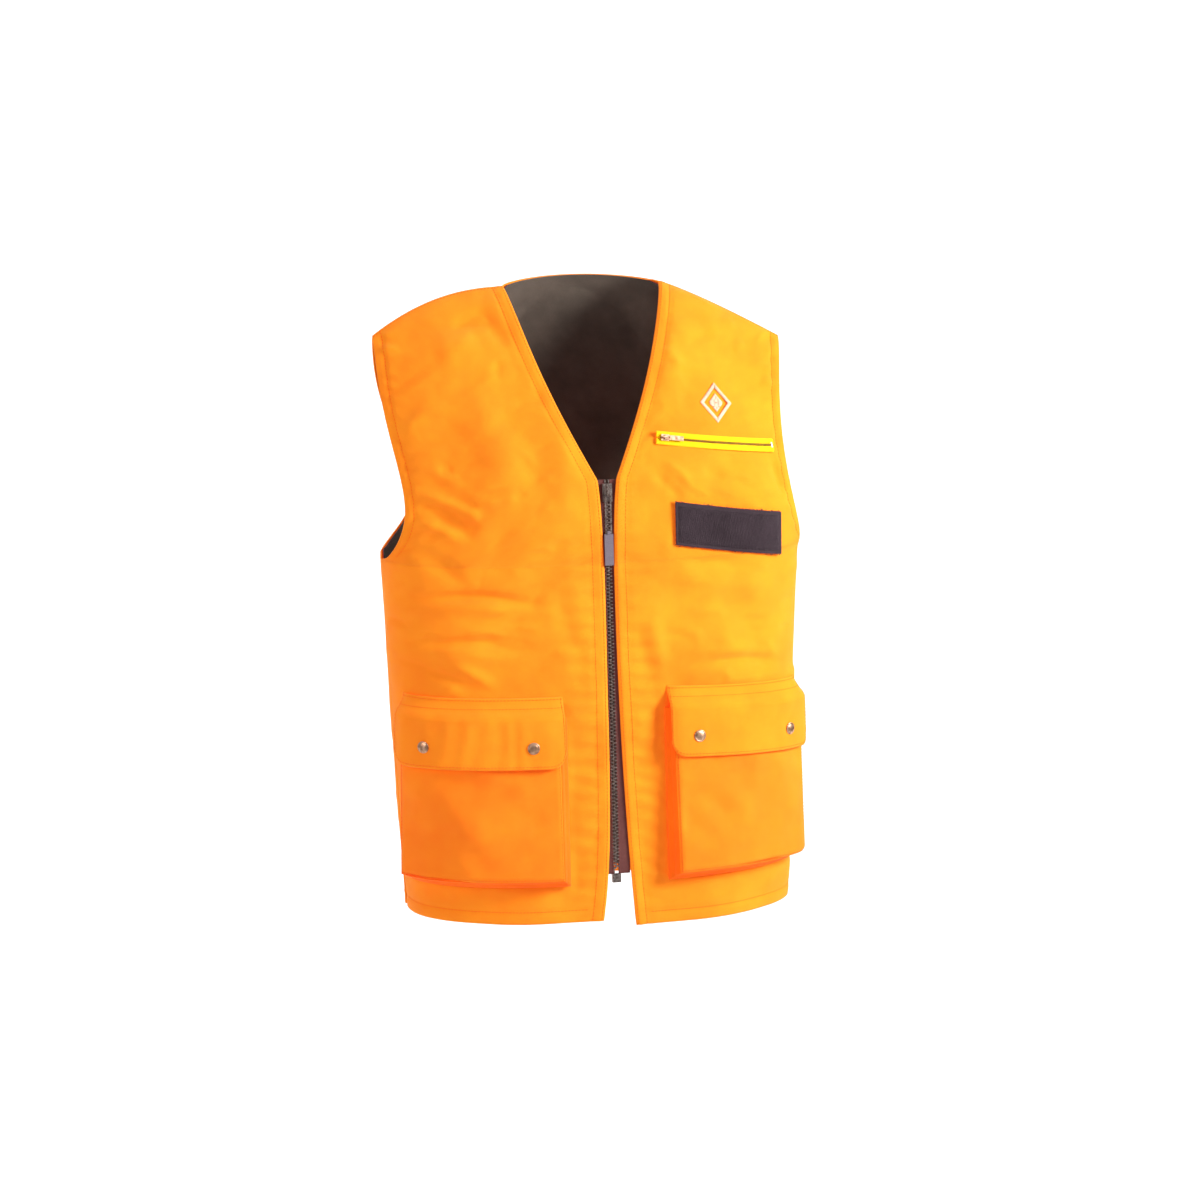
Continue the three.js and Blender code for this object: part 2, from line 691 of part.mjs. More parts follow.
// A channel over the coil, with an arch for the puller.
function chestSlider() {
  const { length, half, wall, top, foot } = CHEST_SLIDER;
  const ceiling = CHEST_ZIP.coil[0] - CHEST_ZIP.room;
  const cover = boxBetween(vec(-length / 2, top, -half), vec(length / 2, foot, half));
  const groove = boxBetween(vec(-length, ceiling, wall - half), vec(length, 0, half - wall));
  const { rise, bar, post, span } = CHEST_ARCH;
  const arch = boxBetween(
    vec(-span / 2, top - rise - bar, -CHEST_ARCH.half),
    vec(span / 2, top + CHEST_ARCH.root, CHEST_ARCH.half),
  );
  const eye = boxBetween(vec(post - span / 2, top - rise, -half), vec(span / 2 - post, top, half));
  const channel = solid(cover).subtract(solid(groove));
  return geometryOf(channel.add(solid(arch).subtract(solid(eye))));
}

// A bar with an eye near its inner end; the end bar lies under the slider's arch.
function chestPuller() {
  const { length, half, thick, endBar, eye } = CHEST_PULLER;
  const y = CHEST_SLIDER.top - CHEST_ARCH.rise / 2;
  const block = (x0, x1, h, t) => boxBetween(vec(x0, y - t, -h), vec(x1, y + t, h));
  const bar = block(-endBar / 2, length, half, thick / 2);
  const hole = block(endBar / 2, endBar / 2 + eye, CHEST_ARCH.half + 2 * SEAM_GAP, thick);
  return geometryOf(solid(bar).subtract(solid(hole)));
}

function addChestZip() {
  const zip = makeChestFrame();
  const { tapeHalf, tape, coilHalf, coil, margin } = CHEST_ZIP;
  const whole = [0, zip.length];
  const split = SEAM_GAP / 2;
  const strip = (name, span, heights, layer, kind) =>
    addMesh(name, chestStrip(zip, span, heights, layer), kind, zip.frame);
  strip("chest_zip_upper_tape", whole, [split, tapeHalf], tape, "yellow");
  strip("chest_zip_lower_tape", whole, [-tapeHalf, -split], tape, "yellow");
  strip("chest_zip_coil", [margin, zip.length - margin], [-coilHalf, coilHalf], coil, "gunmetal");
  const { length, half, layer } = CHEST_STOP;
  const stopEnd = zip.length - margin + SEAM_GAP + length;
  strip("chest_zip_end_stop", [stopEnd - length, stopEnd], [-half, half], layer, "gunmetal");
  const { start } = CHEST_SLIDER;
  addMesh("chest_zip_slider", alongChest(zip, chestSlider(), start), "gunmetal", zip.frame);
  addMesh("chest_zip_puller", alongChest(zip, chestPuller(), start), "gunmetal", zip.frame);
}

function addChestBag() {
  const { innerX, outerX, bottom, top } = CHEST_BAG;
  const bag = frontBand(LEFT, pastArmpit(bottom, top, 1, 3), 6, {
    innerLimit: innerX,
    outerLimit: outerX,
  });
  addMesh("chest_pocket_bag", sheet(bag, BAG), "lining");
}

// The loop patch lies in three flat facets with parallel creases.
function addPatch() {
  const { inner, outer, height, facets, layer } = PATCH;
  const { up } = skinFrame(LEFT, (inner.x + outer.x) / 2, (inner.z + outer.z) / 2);
  const centres = steps(facets).map((share) =>
    frontPoint(LEFT, lerp(inner.x, outer.x, share), lerp(inner.z, outer.z, share)),
  );
  const grid = [-height / 2, height / 2].map((rise) =>
    centres.map((centre) => centre.clone().addScaledVector(up, rise)),
  );
  addMesh("loop_patch", sheet(grid, layer), "loop");
}

// An embroidered lozenge, flat against the chest.
function addBadge() {
  const { x, z, halfWidth: wide, halfHeight: high, corner, thick, lift } = BADGE;
  const { point, normal, up } = skinFrame(LEFT, x, z);
  const shape = new THREE.Shape();
  shape.moveTo(0, -high);
  shape.lineTo(wide - corner, -corner);
  shape.quadraticCurveTo(wide, 0, wide - corner, corner);
  shape.lineTo(0, high);
  shape.lineTo(corner - wide, corner);
  shape.quadraticCurveTo(-wide, 0, corner - wide, -corner);
  const plate = new THREE.ExtrudeGeometry(shape, { depth: thick, bevelEnabled: false });
  const along = up.clone().cross(normal);
  plate.applyMatrix4(new THREE.Matrix4().makeBasis(along, up, normal));
  const place = point.clone().addScaledVector(normal, lift);
  addMesh("badge", plate.translate(place.x, place.y, place.z), "thread");
}

// ---- cargo pockets ---------------------------------------------------------------------

const flapSeamZ = (side, share) => side.flapTop - side.flapFall * share;

// A point of a pocket: share runs from the inner to the outer edge of its foot, inset is
// measured in from those edges, and lift is measured out from the skin.
function pocketPoint(side, share, inset, z, lift) {
  const arc = lerp(inset, side.pocketWidth - inset, share);
  const x = xAfterArc(side, side.pocketX, z, arc);
  const { point, normal } = skinFrame(side, x, z);
  return point.addScaledVector(normal, lift);
}

function pocketDepth(z) {
  const share = (z - LEFT.flapTop) / (POCKET.bottom - LEFT.flapTop);
  return lerp(POCKET.depthTop, POCKET.depthBottom, share);
}

// Rows that start at the centre run to +X on the left only.
const inOrder = (side, rows) => (side.sign > 0 ? rows : rows.map((row) => row.reverse()));

function pocketFront(side) {
  const { bottom, mouth, inset, cloth } = POCKET;
  const rows = steps(5).map((up) =>
    steps(8).map((share) => {
      const z = lerp(bottom + inset, flapSeamZ(side, share) - mouth, up);
      return pocketPoint(side, share, inset, z, pocketDepth(z));
    }),
  );
  return sheet(inOrder(side, rows), [0, cloth]);
}

// The folded strip round the sides and foot of a pocket. It is laid out as a line of cross
// sections that goes down one side, along the foot and up the other side.
function pocketBellows(side) {
  const { bottom, mouth, inset, cloth, bellows, clear } = POCKET;
  const line = [
    ...steps(4).map((down) => [0, lerp(0, 1, down)]),
    ...steps(8)
      .slice(1)
      .map((share) => [share, 1]),
    ...steps(4)
      .slice(1)
      .map((up) => [1, lerp(1, 0, up)]),
  ];
  const sections = [
    { inset: 0, lift: () => clear + bellows },
    { inset: inset / 2, lift: (z) => pocketDepth(z) / 2 },
    { inset, lift: (z) => pocketDepth(z) - cloth - clear },
  ];
  const rows = sections.map((section) =>
    line.map(([share, down]) => {
      const top = flapSeamZ(side, share) - mouth;
      const z = lerp(top, bottom + section.inset, down);
      return pocketPoint(side, share, section.inset, z, section.lift(z));
    }),
  );
  return sheet(inOrder(side, rows), [0, bellows]);
}

const flapEdge = (side, share) => flapSeamZ(side, share) - FLAP.height;

// The flap's outer face stands clear of the pocket front and closes in towards its seam.
function flapLift(side, share, z) {
  const near = THREE.MathUtils.clamp((flapSeamZ(side, share) - z) / FLAP.shoulder, 0, 1);
  return lerp(FLAP.seamLift, pocketDepth(z) + FLAP.over, near);
}

function pocketFlap(side) {
  const { inset, start, dip, corner, thick } = FLAP;
  const shares = [0, 0.04, 0.1, 0.2, 0.35, 0.5, 0.65, 0.8, 0.9, 0.96, 1];
  const rows = [0, 0.12, 0.3, 0.6, 0.85, 1].map((down) =>
    shares.map((share) => {
      const fromEnd = Math.min(share, 1 - share) * (side.pocketWidth - 2 * inset);
      const cut = Math.max(0, 1 - fromEnd / corner);
      const low = flapEdge(side, share) + corner * (1 - Math.sqrt(1 - cut ** 2));
      const high = flapSeamZ(side, share) - lerp(start, dip, 1 - (2 * share - 1) ** 2);
      const z = lerp(high, low, down);
      return pocketPoint(side, share, inset, z, flapLift(side, share, z));
    }),
  );
  return sheet(inOrder(side, rows.reverse()), [0, thick]);
}

// A round piece turned about the normal of the pocket front, from a half profile of
// [radius, height above the pocket front] pairs.
function snapPiece(side, share, profile) {
  const z = flapEdge(side, share) + side.snaps.up;
  const foot = pocketPoint(side, share, FLAP.inset, z, pocketDepth(z));
  const tip = pocketPoint(side, share, FLAP.inset, z, pocketDepth(z) + 1);
  const points = profile.map(([radius, height]) => new THREE.Vector2(radius, height));
  const geometry = new THREE.LatheGeometry([...points, points[0]], SNAP.sides);
  const turn = new THREE.Quaternion().setFromUnitVectors(vec(0, 1, 0), tip.sub(foot).normalize());
  return geometry.applyQuaternion(turn).translate(foot.x, foot.y, foot.z);
}

function addSnap(side, label, share) {
  const { over } = FLAP;
  const piece = (what, profile) =>
    addMesh(`${what}_${side.name}_${label}`, snapPiece(side, share, profile), "brass");
  const { cap, capEdge, capCrown, socket, socketHeights, stud } = SNAP;
  const capFoot = over + 2 * SEAM_GAP;
  piece("snap_cap", [
    [0, capFoot],
    [cap, capFoot],
    [cap, capFoot + capEdge],
    [cap * SNAP.crownShare, capFoot + capCrown],
    [0, capFoot + capCrown],
  ]);
  piece("snap_socket", [
    [socket.bore, socketHeights[0]],
    [socket.outer, socketHeights[0]],
    [socket.outer, socketHeights[1]],
    [socket.bore, socketHeights[1]],
  ]);
  piece("snap_stud", [
    [0, SEAM_GAP],
    [stud.flange, SEAM_GAP],
    [stud.flange, SEAM_GAP + stud.flangeThick],
    [stud.post, SEAM_GAP + stud.flangeThick],
    [stud.post, stud.top],
    [0, stud.top],
  ]);
}

function addPockets() {
  for (const side of SIDES) {
    addMesh(`pocket_${side.name}_bellows`, pocketBellows(side), "bellows");
    addMesh(`pocket_${side.name}_front`, pocketFront(side), "shell");
    addMesh(`flap_${side.name}`, pocketFlap(side), "shell");
    const width = side.pocketWidth - 2 * FLAP.inset;
    addSnap(side, "inner", side.snaps.inner / width);
    addSnap(side, "outer", 1 - side.snaps.outer / width);
  }
}

addBody();
addFrontZip();
addChestZip();
addChestBag();
addPatch();
addBadge();
addPockets();

export default vest;
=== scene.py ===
# Visual model of a blaze orange hunting vest: stitched cloth, real zip teeth, bellows
# pockets and snaps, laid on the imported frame. Metres, +Z up, the front faces -Y.
import math
from collections import namedtuple

import bpy
import numpy as np
from mathutils import Matrix, Vector, noise


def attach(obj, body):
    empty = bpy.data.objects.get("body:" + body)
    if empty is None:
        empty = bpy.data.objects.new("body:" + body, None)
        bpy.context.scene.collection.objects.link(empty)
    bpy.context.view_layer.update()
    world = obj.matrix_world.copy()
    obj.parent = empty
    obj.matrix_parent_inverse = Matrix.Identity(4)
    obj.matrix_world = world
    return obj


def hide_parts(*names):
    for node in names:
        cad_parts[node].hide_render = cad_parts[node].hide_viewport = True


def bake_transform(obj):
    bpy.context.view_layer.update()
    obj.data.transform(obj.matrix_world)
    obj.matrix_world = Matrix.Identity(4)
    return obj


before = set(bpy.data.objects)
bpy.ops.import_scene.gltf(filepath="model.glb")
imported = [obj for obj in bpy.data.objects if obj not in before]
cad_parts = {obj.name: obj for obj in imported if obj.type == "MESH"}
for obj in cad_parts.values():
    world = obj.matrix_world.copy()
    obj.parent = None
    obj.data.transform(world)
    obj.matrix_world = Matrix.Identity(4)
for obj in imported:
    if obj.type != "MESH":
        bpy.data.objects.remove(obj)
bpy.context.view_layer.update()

MM = 0.001

# ---- shape of the garment, in millimetres, as in the CAD ---------------------------------

ARMPIT_Z = -282.0
VEE_Z = -192.0  # foot of the neck opening
HEM_Z = -669.0
YOKE_LEVEL = -99.0  # below it the rows of a front are level, above it they fan to the shoulder
SEAM_Y = (-38.0, -60.0)  # of the side seams, at the armpit and at the hem
DEPTH_AT_VEE = 83.0
DEPTH_AT_HEM = 105.0
SQUARENESS = 2.4  # of the level sections: 2 is an ellipse
SEAM_GAP = 0.3
NECK_HALF = 86.0
VEE_HALF = 11.0
VEE_BOW = 6.5
FRONT_ROLL = (195.0, 0.62)  # depth and power of the roll over the shoulder
BACK_ROLL = (80.0, 0.5)
NAPE_RISE = 70.0
NAPE_LIFT = 4.5  # the middle of the nape stands a little proud of the CAD
EDGE_HALF = 5.5  # from the centre plane to each front edge, below the neck opening
EDGE_EASE = 40.0
BACK_SCOOP = 48.0


class Side:
    """The facts of one side: widths and heights of its seam, shoulder, armhole and pocket."""

    def __init__(self, **facts):
        self.__dict__.update(facts)


RIGHT = Side(
    name="right",
    sign=-1,
    seed=3.1,
    seam=(229.0, 208.0),
    reach=228.0,
    drop=48.0,
    roundness=2.2,
    scoop=19.0,
    skew=2.2,
    flare=(11.5, 8.0),
    hem_lift=7.0,
    pocket=(51.0, 184.0),
    flap_top=-421.5,
    flap_fall=0.0,
    snaps=(33.0, 33.0, 22.0),
)
LEFT = Side(
    name="left",
    sign=1,
    seed=8.7,
    seam=(233.0, 215.0),
    reach=220.0,
    drop=64.0,
    roundness=1.15,
    scoop=15.0,
    skew=1.0,
    flare=(15.5, 2.5),
    hem_lift=0.0,
    pocket=(57.0, 180.0),
    flap_top=-416.5,
    flap_fall=10.0,
    snaps=(29.0, 34.0, 21.5),
)
SIDES = (RIGHT, LEFT)


def lerp(a, b, t):
    return a + (b - a) * t


def smooth(t):
    t = np.clip(t, 0.0, 1.0)
    return t * t * (3 - 2 * t)


def unit(vector):
    return vector / np.linalg.norm(vector, axis=-1, keepdims=True)


def near(value, centre, half):
    """A smooth bump of height 1 at the centre."""
    return np.exp(-(((value - centre) / half) ** 2))


def seam_share(z):
    """0 at the armpit and 1 at the hem."""
    return (z - ARMPIT_Z) / (HEM_Z - ARMPIT_Z)


def half_width(side, z):
    return lerp(side.seam[0], side.seam[1], seam_share(z))


def middle_y(z):
    return lerp(SEAM_Y[0], SEAM_Y[1], seam_share(z))


def half_depth(z):
    return lerp(DEPTH_AT_VEE, DEPTH_AT_HEM, (z - VEE_Z) / (HEM_Z - VEE_Z))


def squared(share):
    """Depth of a squared-off section, as a share, at a share of its half width."""
    inside = np.maximum(0.0, 1 - np.power(np.maximum(share, 0.0), SQUARENESS))
    return np.power(inside, 1 / SQUARENESS)


def angle_at(side, x, z):
    share = np.minimum(1.0, np.maximum(x, 0.0) / half_width(side, z))
    return np.arccos(np.power(share, SQUARENESS / 2))


def x_at_angle(side, angle, z):
    return half_width(side, z) * np.power(np.maximum(np.cos(angle), 0), 2 / SQUARENESS)


def roll(drop, depth, power):
    """Share of the full depth that the cloth has at a drop below the shoulder."""
    return np.power(np.clip(drop / depth, 0.0, 1.0), power)


def shoulder_z(side, x):
    share = np.maximum(0.0, (x - NECK_HALF) / (side.reach - NECK_HALF))
    return -side.drop * np.power(share, side.roundness)


def front_point(side, x, z):
    full = middle_y(z) - half_depth(z) * squared(x / half_width(side, z))
    y = full * roll(shoulder_z(side, x) - z, *FRONT_ROLL)
    return np.stack(np.broadcast_arrays(side.sign * x, y, z), axis=-1)


def back_point(side, x, z):
    nape = NAPE_RISE * (1 - (x / NECK_HALF) ** 2)
    crown = np.where(x < NECK_HALF, nape, shoulder_z(side, x))
    full = middle_y(z) + half_depth(z) * squared(x / half_width(side, z))
    y = full * roll(crown - z, *BACK_ROLL)
    return np.stack(np.broadcast_arrays(side.sign * x, y, z), axis=-1)


def armhole_x(side, z, scoop):
    share = np.clip((-side.drop - z) / (-side.drop - ARMPIT_Z), 0.0, 1.0)
    cut = scoop * np.sin(math.pi * np.power(share, side.skew))
    return lerp(side.reach, side.seam[0], share) - cut


def inner_edge_x(side, z):
    share = np.clip(z / VEE_Z, 0.0, 1.0)
    vee = lerp(NECK_HALF, VEE_HALF, share) + VEE_BOW * np.sin(math.pi * share)
    ease = (VEE_HALF - EDGE_HALF) * np.exp(np.minimum(z - VEE_Z, 0.0) / EDGE_EASE)
    below = np.clip((z - VEE_Z) / (HEM_Z - VEE_Z), 0.0, 1.2)
    edge = EDGE_HALF + ease + side.flare[0] * np.power(below, side.flare[1])
    return np.where(z >= VEE_Z, vee, edge)


# ---- meshes ------------------------------------------------------------------------------

GARMENT_AXIS = np.array([0.0, -45.0, 0.0])
RIM_ROUNDING = 0.45  # how far a sheet's rim stands out, as a share of its thickness


def link_new(name, data):
    made = bpy.data.objects.new(name, data)
    bpy.context.collection.objects.link(made)
    return made


def new_object(name, vertices, faces, material, body=None, uvs=None, smooth_shade=True):
    """A piece from vertices in metres; with a body it rides on it."""
    name = name.replace(" ", "_")
    mesh = bpy.data.meshes.new(name)
    mesh.from_pydata([tuple(v) for v in vertices], [], faces)
    if uvs is not None:
        layer = mesh.uv_layers.new(name="cloth")
        loops = np.empty(len(mesh.loops), dtype=np.int32)
        mesh.loops.foreach_get("vertex_index", loops)
        layer.data.foreach_set("uv", np.asarray(uvs, dtype=np.float32)[loops].ravel())
    mesh.update()
    if smooth_shade:
        mesh.shade_smooth()
    made = link_new(name, mesh)
    made.data.materials.append(material)
    if body is not None:
        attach(made, body)
    return made


def grid_normals(points):
    normal = np.cross(np.gradient(points, axis=1), np.gradient(points, axis=0))
    length = np.linalg.norm(normal, axis=-1, keepdims=True)
    return normal / np.maximum(length, 1e-9)


def outward_normals(points):
    """Unit normals of a grid, turned away from the garment's axis."""
    normal = grid_normals(points)
    away = (points - GARMENT_AXIS)[..., :2]
    facing = np.sum(normal[..., :2] * away, axis=-1)
    return normal if np.median(facing) > 0 else -normal


def arc_lengths(points):
    """Distance along each row of a grid from its first point."""
    steps = np.linalg.norm(np.diff(points, axis=1), axis=-1)
    return np.concatenate([np.zeros((len(points), 1)), np.cumsum(steps, axis=1)], axis=1)


def rise_lengths(points):
    """Distance up each column of a grid from its first point."""
    steps = np.linalg.norm(np.diff(points, axis=0), axis=-1)
    return np.concatenate([np.zeros((1, points.shape[1])), np.cumsum(steps, axis=0)])


def path_lengths(path):
    return np.concatenate([[0], np.cumsum(np.linalg.norm(np.diff(path, axis=0), axis=1))])


def along_path(lengths, values, where):
    """Rows of three values, interpolated at a distance along a path."""
    return np.stack([np.interp(where, lengths, values[:, c]) for c in range(3)], axis=-1)


def ring_of(rows, columns):
    """Grid places round the rim of a grid, in order."""
    ring = [(0, j) for j in range(columns)]
    ring += [(i, columns - 1) for i in range(1, rows)]
    ring += [(rows - 1, j) for j in range(columns - 2, -1, -1)]
    ring += [(i, 0) for i in range(rows - 2, 0, -1)]
    return ring


def out_of_rim(points, ring):
    """Unit directions out of a grid, in its own surface, at each place of its rim."""
    along = unit(np.gradient(points, axis=1))
    up = unit(np.gradient(points, axis=0))
    rows, columns = points.shape[:2]
    pushes = []
    for i, j in ring:
        sideways = (j == columns - 1) * 1.0 - (j == 0)
        upward = (i == rows - 1) * 1.0 - (i == 0)
        pushes.append(unit(sideways * along[i, j] + upward * up[i, j]))
    return np.array(pushes)


def sheet_faces(rows, columns, rim):
    """Faces of a closed sheet: its outer grid, its inner grid, and a rim vertex between them
    at each place of the rim."""
    grid = rows * columns
    faces = []
    for i in range(rows - 1):
        for j in range(columns - 1):
            a = i * columns + j
            b, c, d = a + 1, a + columns + 1, a + columns
            faces.append((a, b, c, d))
            faces.append((grid + a, grid + d, grid + c, grid + b))
    for k, here in enumerate(rim):
        n = (k + 1) % len(rim)
        faces.append((here, 2 * grid + k, 2 * grid + n, rim[n]))
        faces.append((2 * grid + k, grid + here, grid + rim[n], 2 * grid + n))
    return faces


def cloth_mesh(name, points, thickness, material, body, depth=0.0, normals=None):
    """A closed sheet of cloth from a grid in millimetres; its outer face lies depth inside
    the grid, and its rim is rounded."""
    rows, columns = points.shape[:2]
    if normals is None:
        normals = outward_normals(points)
    outer = points - normals * depth
    inner = points - normals * (depth + thickness)
    ring = ring_of(rows, columns)
    rim = [i * columns + j for i, j in ring]
    middle = ((outer + inner) / 2).reshape(-1, 3)[rim]
    rounded = middle + out_of_rim(points, ring) * thickness * RIM_ROUNDING
    vertices = np.concatenate([outer.reshape(-1, 3), inner.reshape(-1, 3), rounded])
    faces = sheet_faces(rows, columns, rim)
    centre = rows // 2, columns // 2
    if grid_normals(points)[centre] @ normals[centre] < 0:
        faces = [(a, d, c, b) for a, b, c, d in faces]
    uv = np.stack([arc_lengths(points), rise_lengths(points)], axis=-1).reshape(-1, 2)
    uvs = np.concatenate([uv, uv, uv[rim]]) * MM
    return new_object(name, vertices * MM, faces, material, body, uvs)


def tube_faces(rings, sides):
    """Faces of a closed tube of rings of points."""
    faces = []
    for r in range(rings - 1):
        for q in range(sides):
            a = r * sides + q
            b = r * sides + (q + 1) % sides
            faces.append((a, b, b + sides, a + sides))
    faces.append(tuple(range(sides - 1, -1, -1)))
    faces.append(tuple(range((rings - 1) * sides, rings * sides)))
    return faces


def tube(path, radius, sides=5):
    """A closed round thread along a path."""
    tangent = unit(np.gradient(path, axis=0))
    first = unit(np.cross(tangent, (0.31, 0.23, 0.92)))
    second = np.cross(tangent, first)
    turns = 2 * math.pi * np.arange(sides) / sides
    rings = [path + radius * (math.cos(a) * first + math.sin(a) * second) for a in turns]
    return np.stack(rings, axis=1).reshape(-1, 3), tube_faces(len(path), sides)


def join_parts(parts):
    """One set of vertices and faces from many."""
    vertices, faces, base = [], [], 0
    for points, part_faces in parts:
        vertices.append(points)
        faces += [tuple(i + base for i in face) for face in part_faces]
        base += len(points)
    return np.concatenate(vertices), faces


class Surface:
    """A grid of points in millimetres that can be sampled between its points: u runs from 0
    to 1 along the columns and v from 0 to 1 up the rows."""

    def __init__(self, points):
        self.points = points
        self.normals = outward_normals(points)

    def at(self, u, v, lift=0.0):
        rows, columns = self.points.shape[:2]
        u = np.clip(np.asarray(u, float), 0, 1) * (columns - 1)
        v = np.clip(np.asarray(v, float), 0, 1) * (rows - 1)
        j = np.minimum(u.astype(int), columns - 2)
        i = np.minimum(v.astype(int), rows - 2)
        a = (u - j)[..., None]
        b = (v - i)[..., None]

        def mix(grid):
            low = grid[i, j] * (1 - a) + grid[i, j + 1] * a
            high = grid[i + 1, j] * (1 - a) + grid[i + 1, j + 1] * a
            return low * (1 - b) + high * b

        normal = unit(mix(self.normals))
        return mix(self.points) + normal * lift, normal


# ---- folds of the cloth ------------------------------------------------------------------

# Creases of each front: start (x, z), end (x, z), half width, height; x is the distance from
# the centre plane and a negative height is a valley.
CREASES = {
    "right": [
        ((200, -205), (128, -236), 6, 1.9),
        ((196, -216), (140, -252), 7, -2.0),
        ((205, -232), (150, -258), 6, 1.6),
        ((213, -258), (150, -300), 9, -1.6),
        ((190, -180), (150, -196), 7, 1.2),
        ((212, -318), (70, -324), 6, -2.2),
        ((208, -328), (80, -334), 8, 1.5),
        ((206, -366), (74, -371), 6, -2.0),
        ((204, -376), (90, -384), 9, 1.3),
        ((196, -392), (150, -410), 6, -1.4),
        ((170, -384), (120, -414), 6, 1.3),
        ((145, -95), (96, -200), 22, 2.6),
        ((96, -110), (60, -250), 20, -2.0),
        ((150, -40), (104, -28), 9, -1.6),
        ((170, -70), (120, -52), 14, 2.0),
        ((120, -18), (92, -60), 9, -1.8),
        ((52, -240), (24, -380), 12, 1.4),
        ((60, -300), (30, -420), 10, -1.2),
    ],
    "left": [
        ((62, -176), (96, -206), 5, 1.2),
        ((50, -186), (84, -222), 6, -1.2),
        ((192, -186), (212, -236), 7, -1.8),
        ((203, -180), (216, -262), 6, 1.5),
        ((74, -286), (170, -300), 8, -1.3),
        ((66, -300), (150, -318), 10, 1.2),
        ((96, -60), (60, -150), 14, 1.4),
        ((150, -50), (170, -140), 20, -1.2),
        ((70, -382), (200, -395), 7, 1.0),
        ((80, -396), (206, -406), 5, -1.1),
        ((40, -330), (56, -400), 9, 1.3),
        ((24, -340), (46, -420), 8, -1.1),
    ],
}


CREASE_STRENGTH = 2.5
SMALL_CREASES = 46
FOLD_LIMITS = (-5.5, 6.5)
# Where the wearer's left chest is held flat: half heights about the level z and the inner x.
CHEST_ZIP_ZONE = (-164.0, 18.0, 45.0)
LOOP_PATCH_ZONE = (-253.0, 34.0, 62.0)
BADGE_AT = (131.0, -124.0)

# Distances from the front edge, the side seam or armhole, the hem and the shoulder.
Gaps = namedtuple("Gaps", "edge side hem top")


def small_creases(side):
    """Short creases that run towards the armhole, the zip and the pocket, the same each run."""
    random = np.random.default_rng(11 if side is RIGHT else 12)
    made = []
    for _ in range(SMALL_CREASES):
        x = random.uniform(30, 205)
        z = random.uniform(-400, -40)
        length = random.uniform(16, 52)
        angle = random.normal(-0.35, 0.45)
        if x < 60:
            angle = random.normal(0.1, 0.3)
        end = (x + length * math.cos(angle), z + length * math.sin(angle))
        half = random.uniform(3.4, 6.5)
        made.append(((x, z), end, half, random.uniform(0.9, 2.1) * random.choice((-1, 1))))
    return made


def ridge(x, z, start, end, half, height):
    """A fold from start to end, a little bowed, that fades out at both ends."""
    ax, az = start
    bx, bz = end
    length2 = (bx - ax) ** 2 + (bz - az) ** 2
    t = ((x - ax) * (bx - ax) + (z - az) * (bz - az)) / length2
    inside = np.clip(t, 0, 1)
    bow = 0.06 * math.sqrt(length2) * np.sin(math.pi * inside)
    across = np.hypot(x - lerp(ax, bx, inside), z - lerp(az, bz, inside) - bow)
    fade = smooth(1.15 - np.abs(2 * inside - 1) * 0.95) * smooth(1.4 - np.abs(t - 0.5) * 1.6)
    return height * fade * near(across, 0, half)


def field_noise(x, z, scale, seed, stretch=1.0):
    places = zip((x / scale).ravel(), (z / scale / stretch).ravel())
    values = [noise.noise(Vector((u, v, seed))) for u, v in places]
    return np.array(values).reshape(x.shape)


def broad_folds(side, x, z):
    """The named creases, the small ones, and the cloth's slow swells."""
    total = 5.0 * field_noise(x, z, 90, side.seed, 1.6)
    total += 3.2 * field_noise(x + 0.35 * z, z, 38, side.seed + 5, 1.7)
    total += 0.8 * field_noise(x, z, 18, side.seed + 9, 0.8)
    for crease in CREASES[side.name]:
        total += CREASE_STRENGTH * ridge(x, z, *crease)
    for crease in small_creases(side):
        total += ridge(x, z, *crease)
    return total


def stitched_puckers(side, x, z, gaps):
    """Gathers beside the zip's seam and the hem's."""
    wide = np.sin(z / 2.9 + 3 * field_noise(x, z, 60, side.seed + 2))
    beside_zip = smooth((gaps.edge - 9) / 8) * smooth((58 - gaps.edge) / 34)
    fine = np.sin(z / 1.25 + 5 * field_noise(x, z, 30, side.seed + 4))
    total = 0.75 * wide * beside_zip * smooth((-225 - z) / 60)
    total += 0.34 * fine * near(gaps.edge, 12, 6)
    return total + 0.3 * np.sin(x / 2.1) * near(gaps.hem, 12, 6)


def looseness(side, x, z, gaps):
    """1 where the cloth hangs free, less where it is sewn to something or ends."""
    inner = side.pocket[0]
    in_pocket = smooth((-414 - z) / 10) * smooth((z + 632) / 10) * smooth((x - inner + 8) / 10)
    free = 1 - 0.8 * in_pocket
    if side is LEFT:
        for (level, half, start), hold in ((CHEST_ZIP_ZONE, 0.92), (LOOP_PATCH_ZONE, 0.9)):
            free *= 1 - hold * smooth((half - np.abs(z - level)) / 9) * smooth((x - start) / 12)
        free *= 1 - 0.75 * near(x, BADGE_AT[0], 30) * near(z, BADGE_AT[1], 30)
    free *= smooth(gaps.edge / 16) * 0.97 + 0.03
    free *= smooth((gaps.side - 1) / 14)
    free *= smooth(gaps.top / 12)
    return free * (0.35 + 0.65 * smooth(gaps.hem / 45))


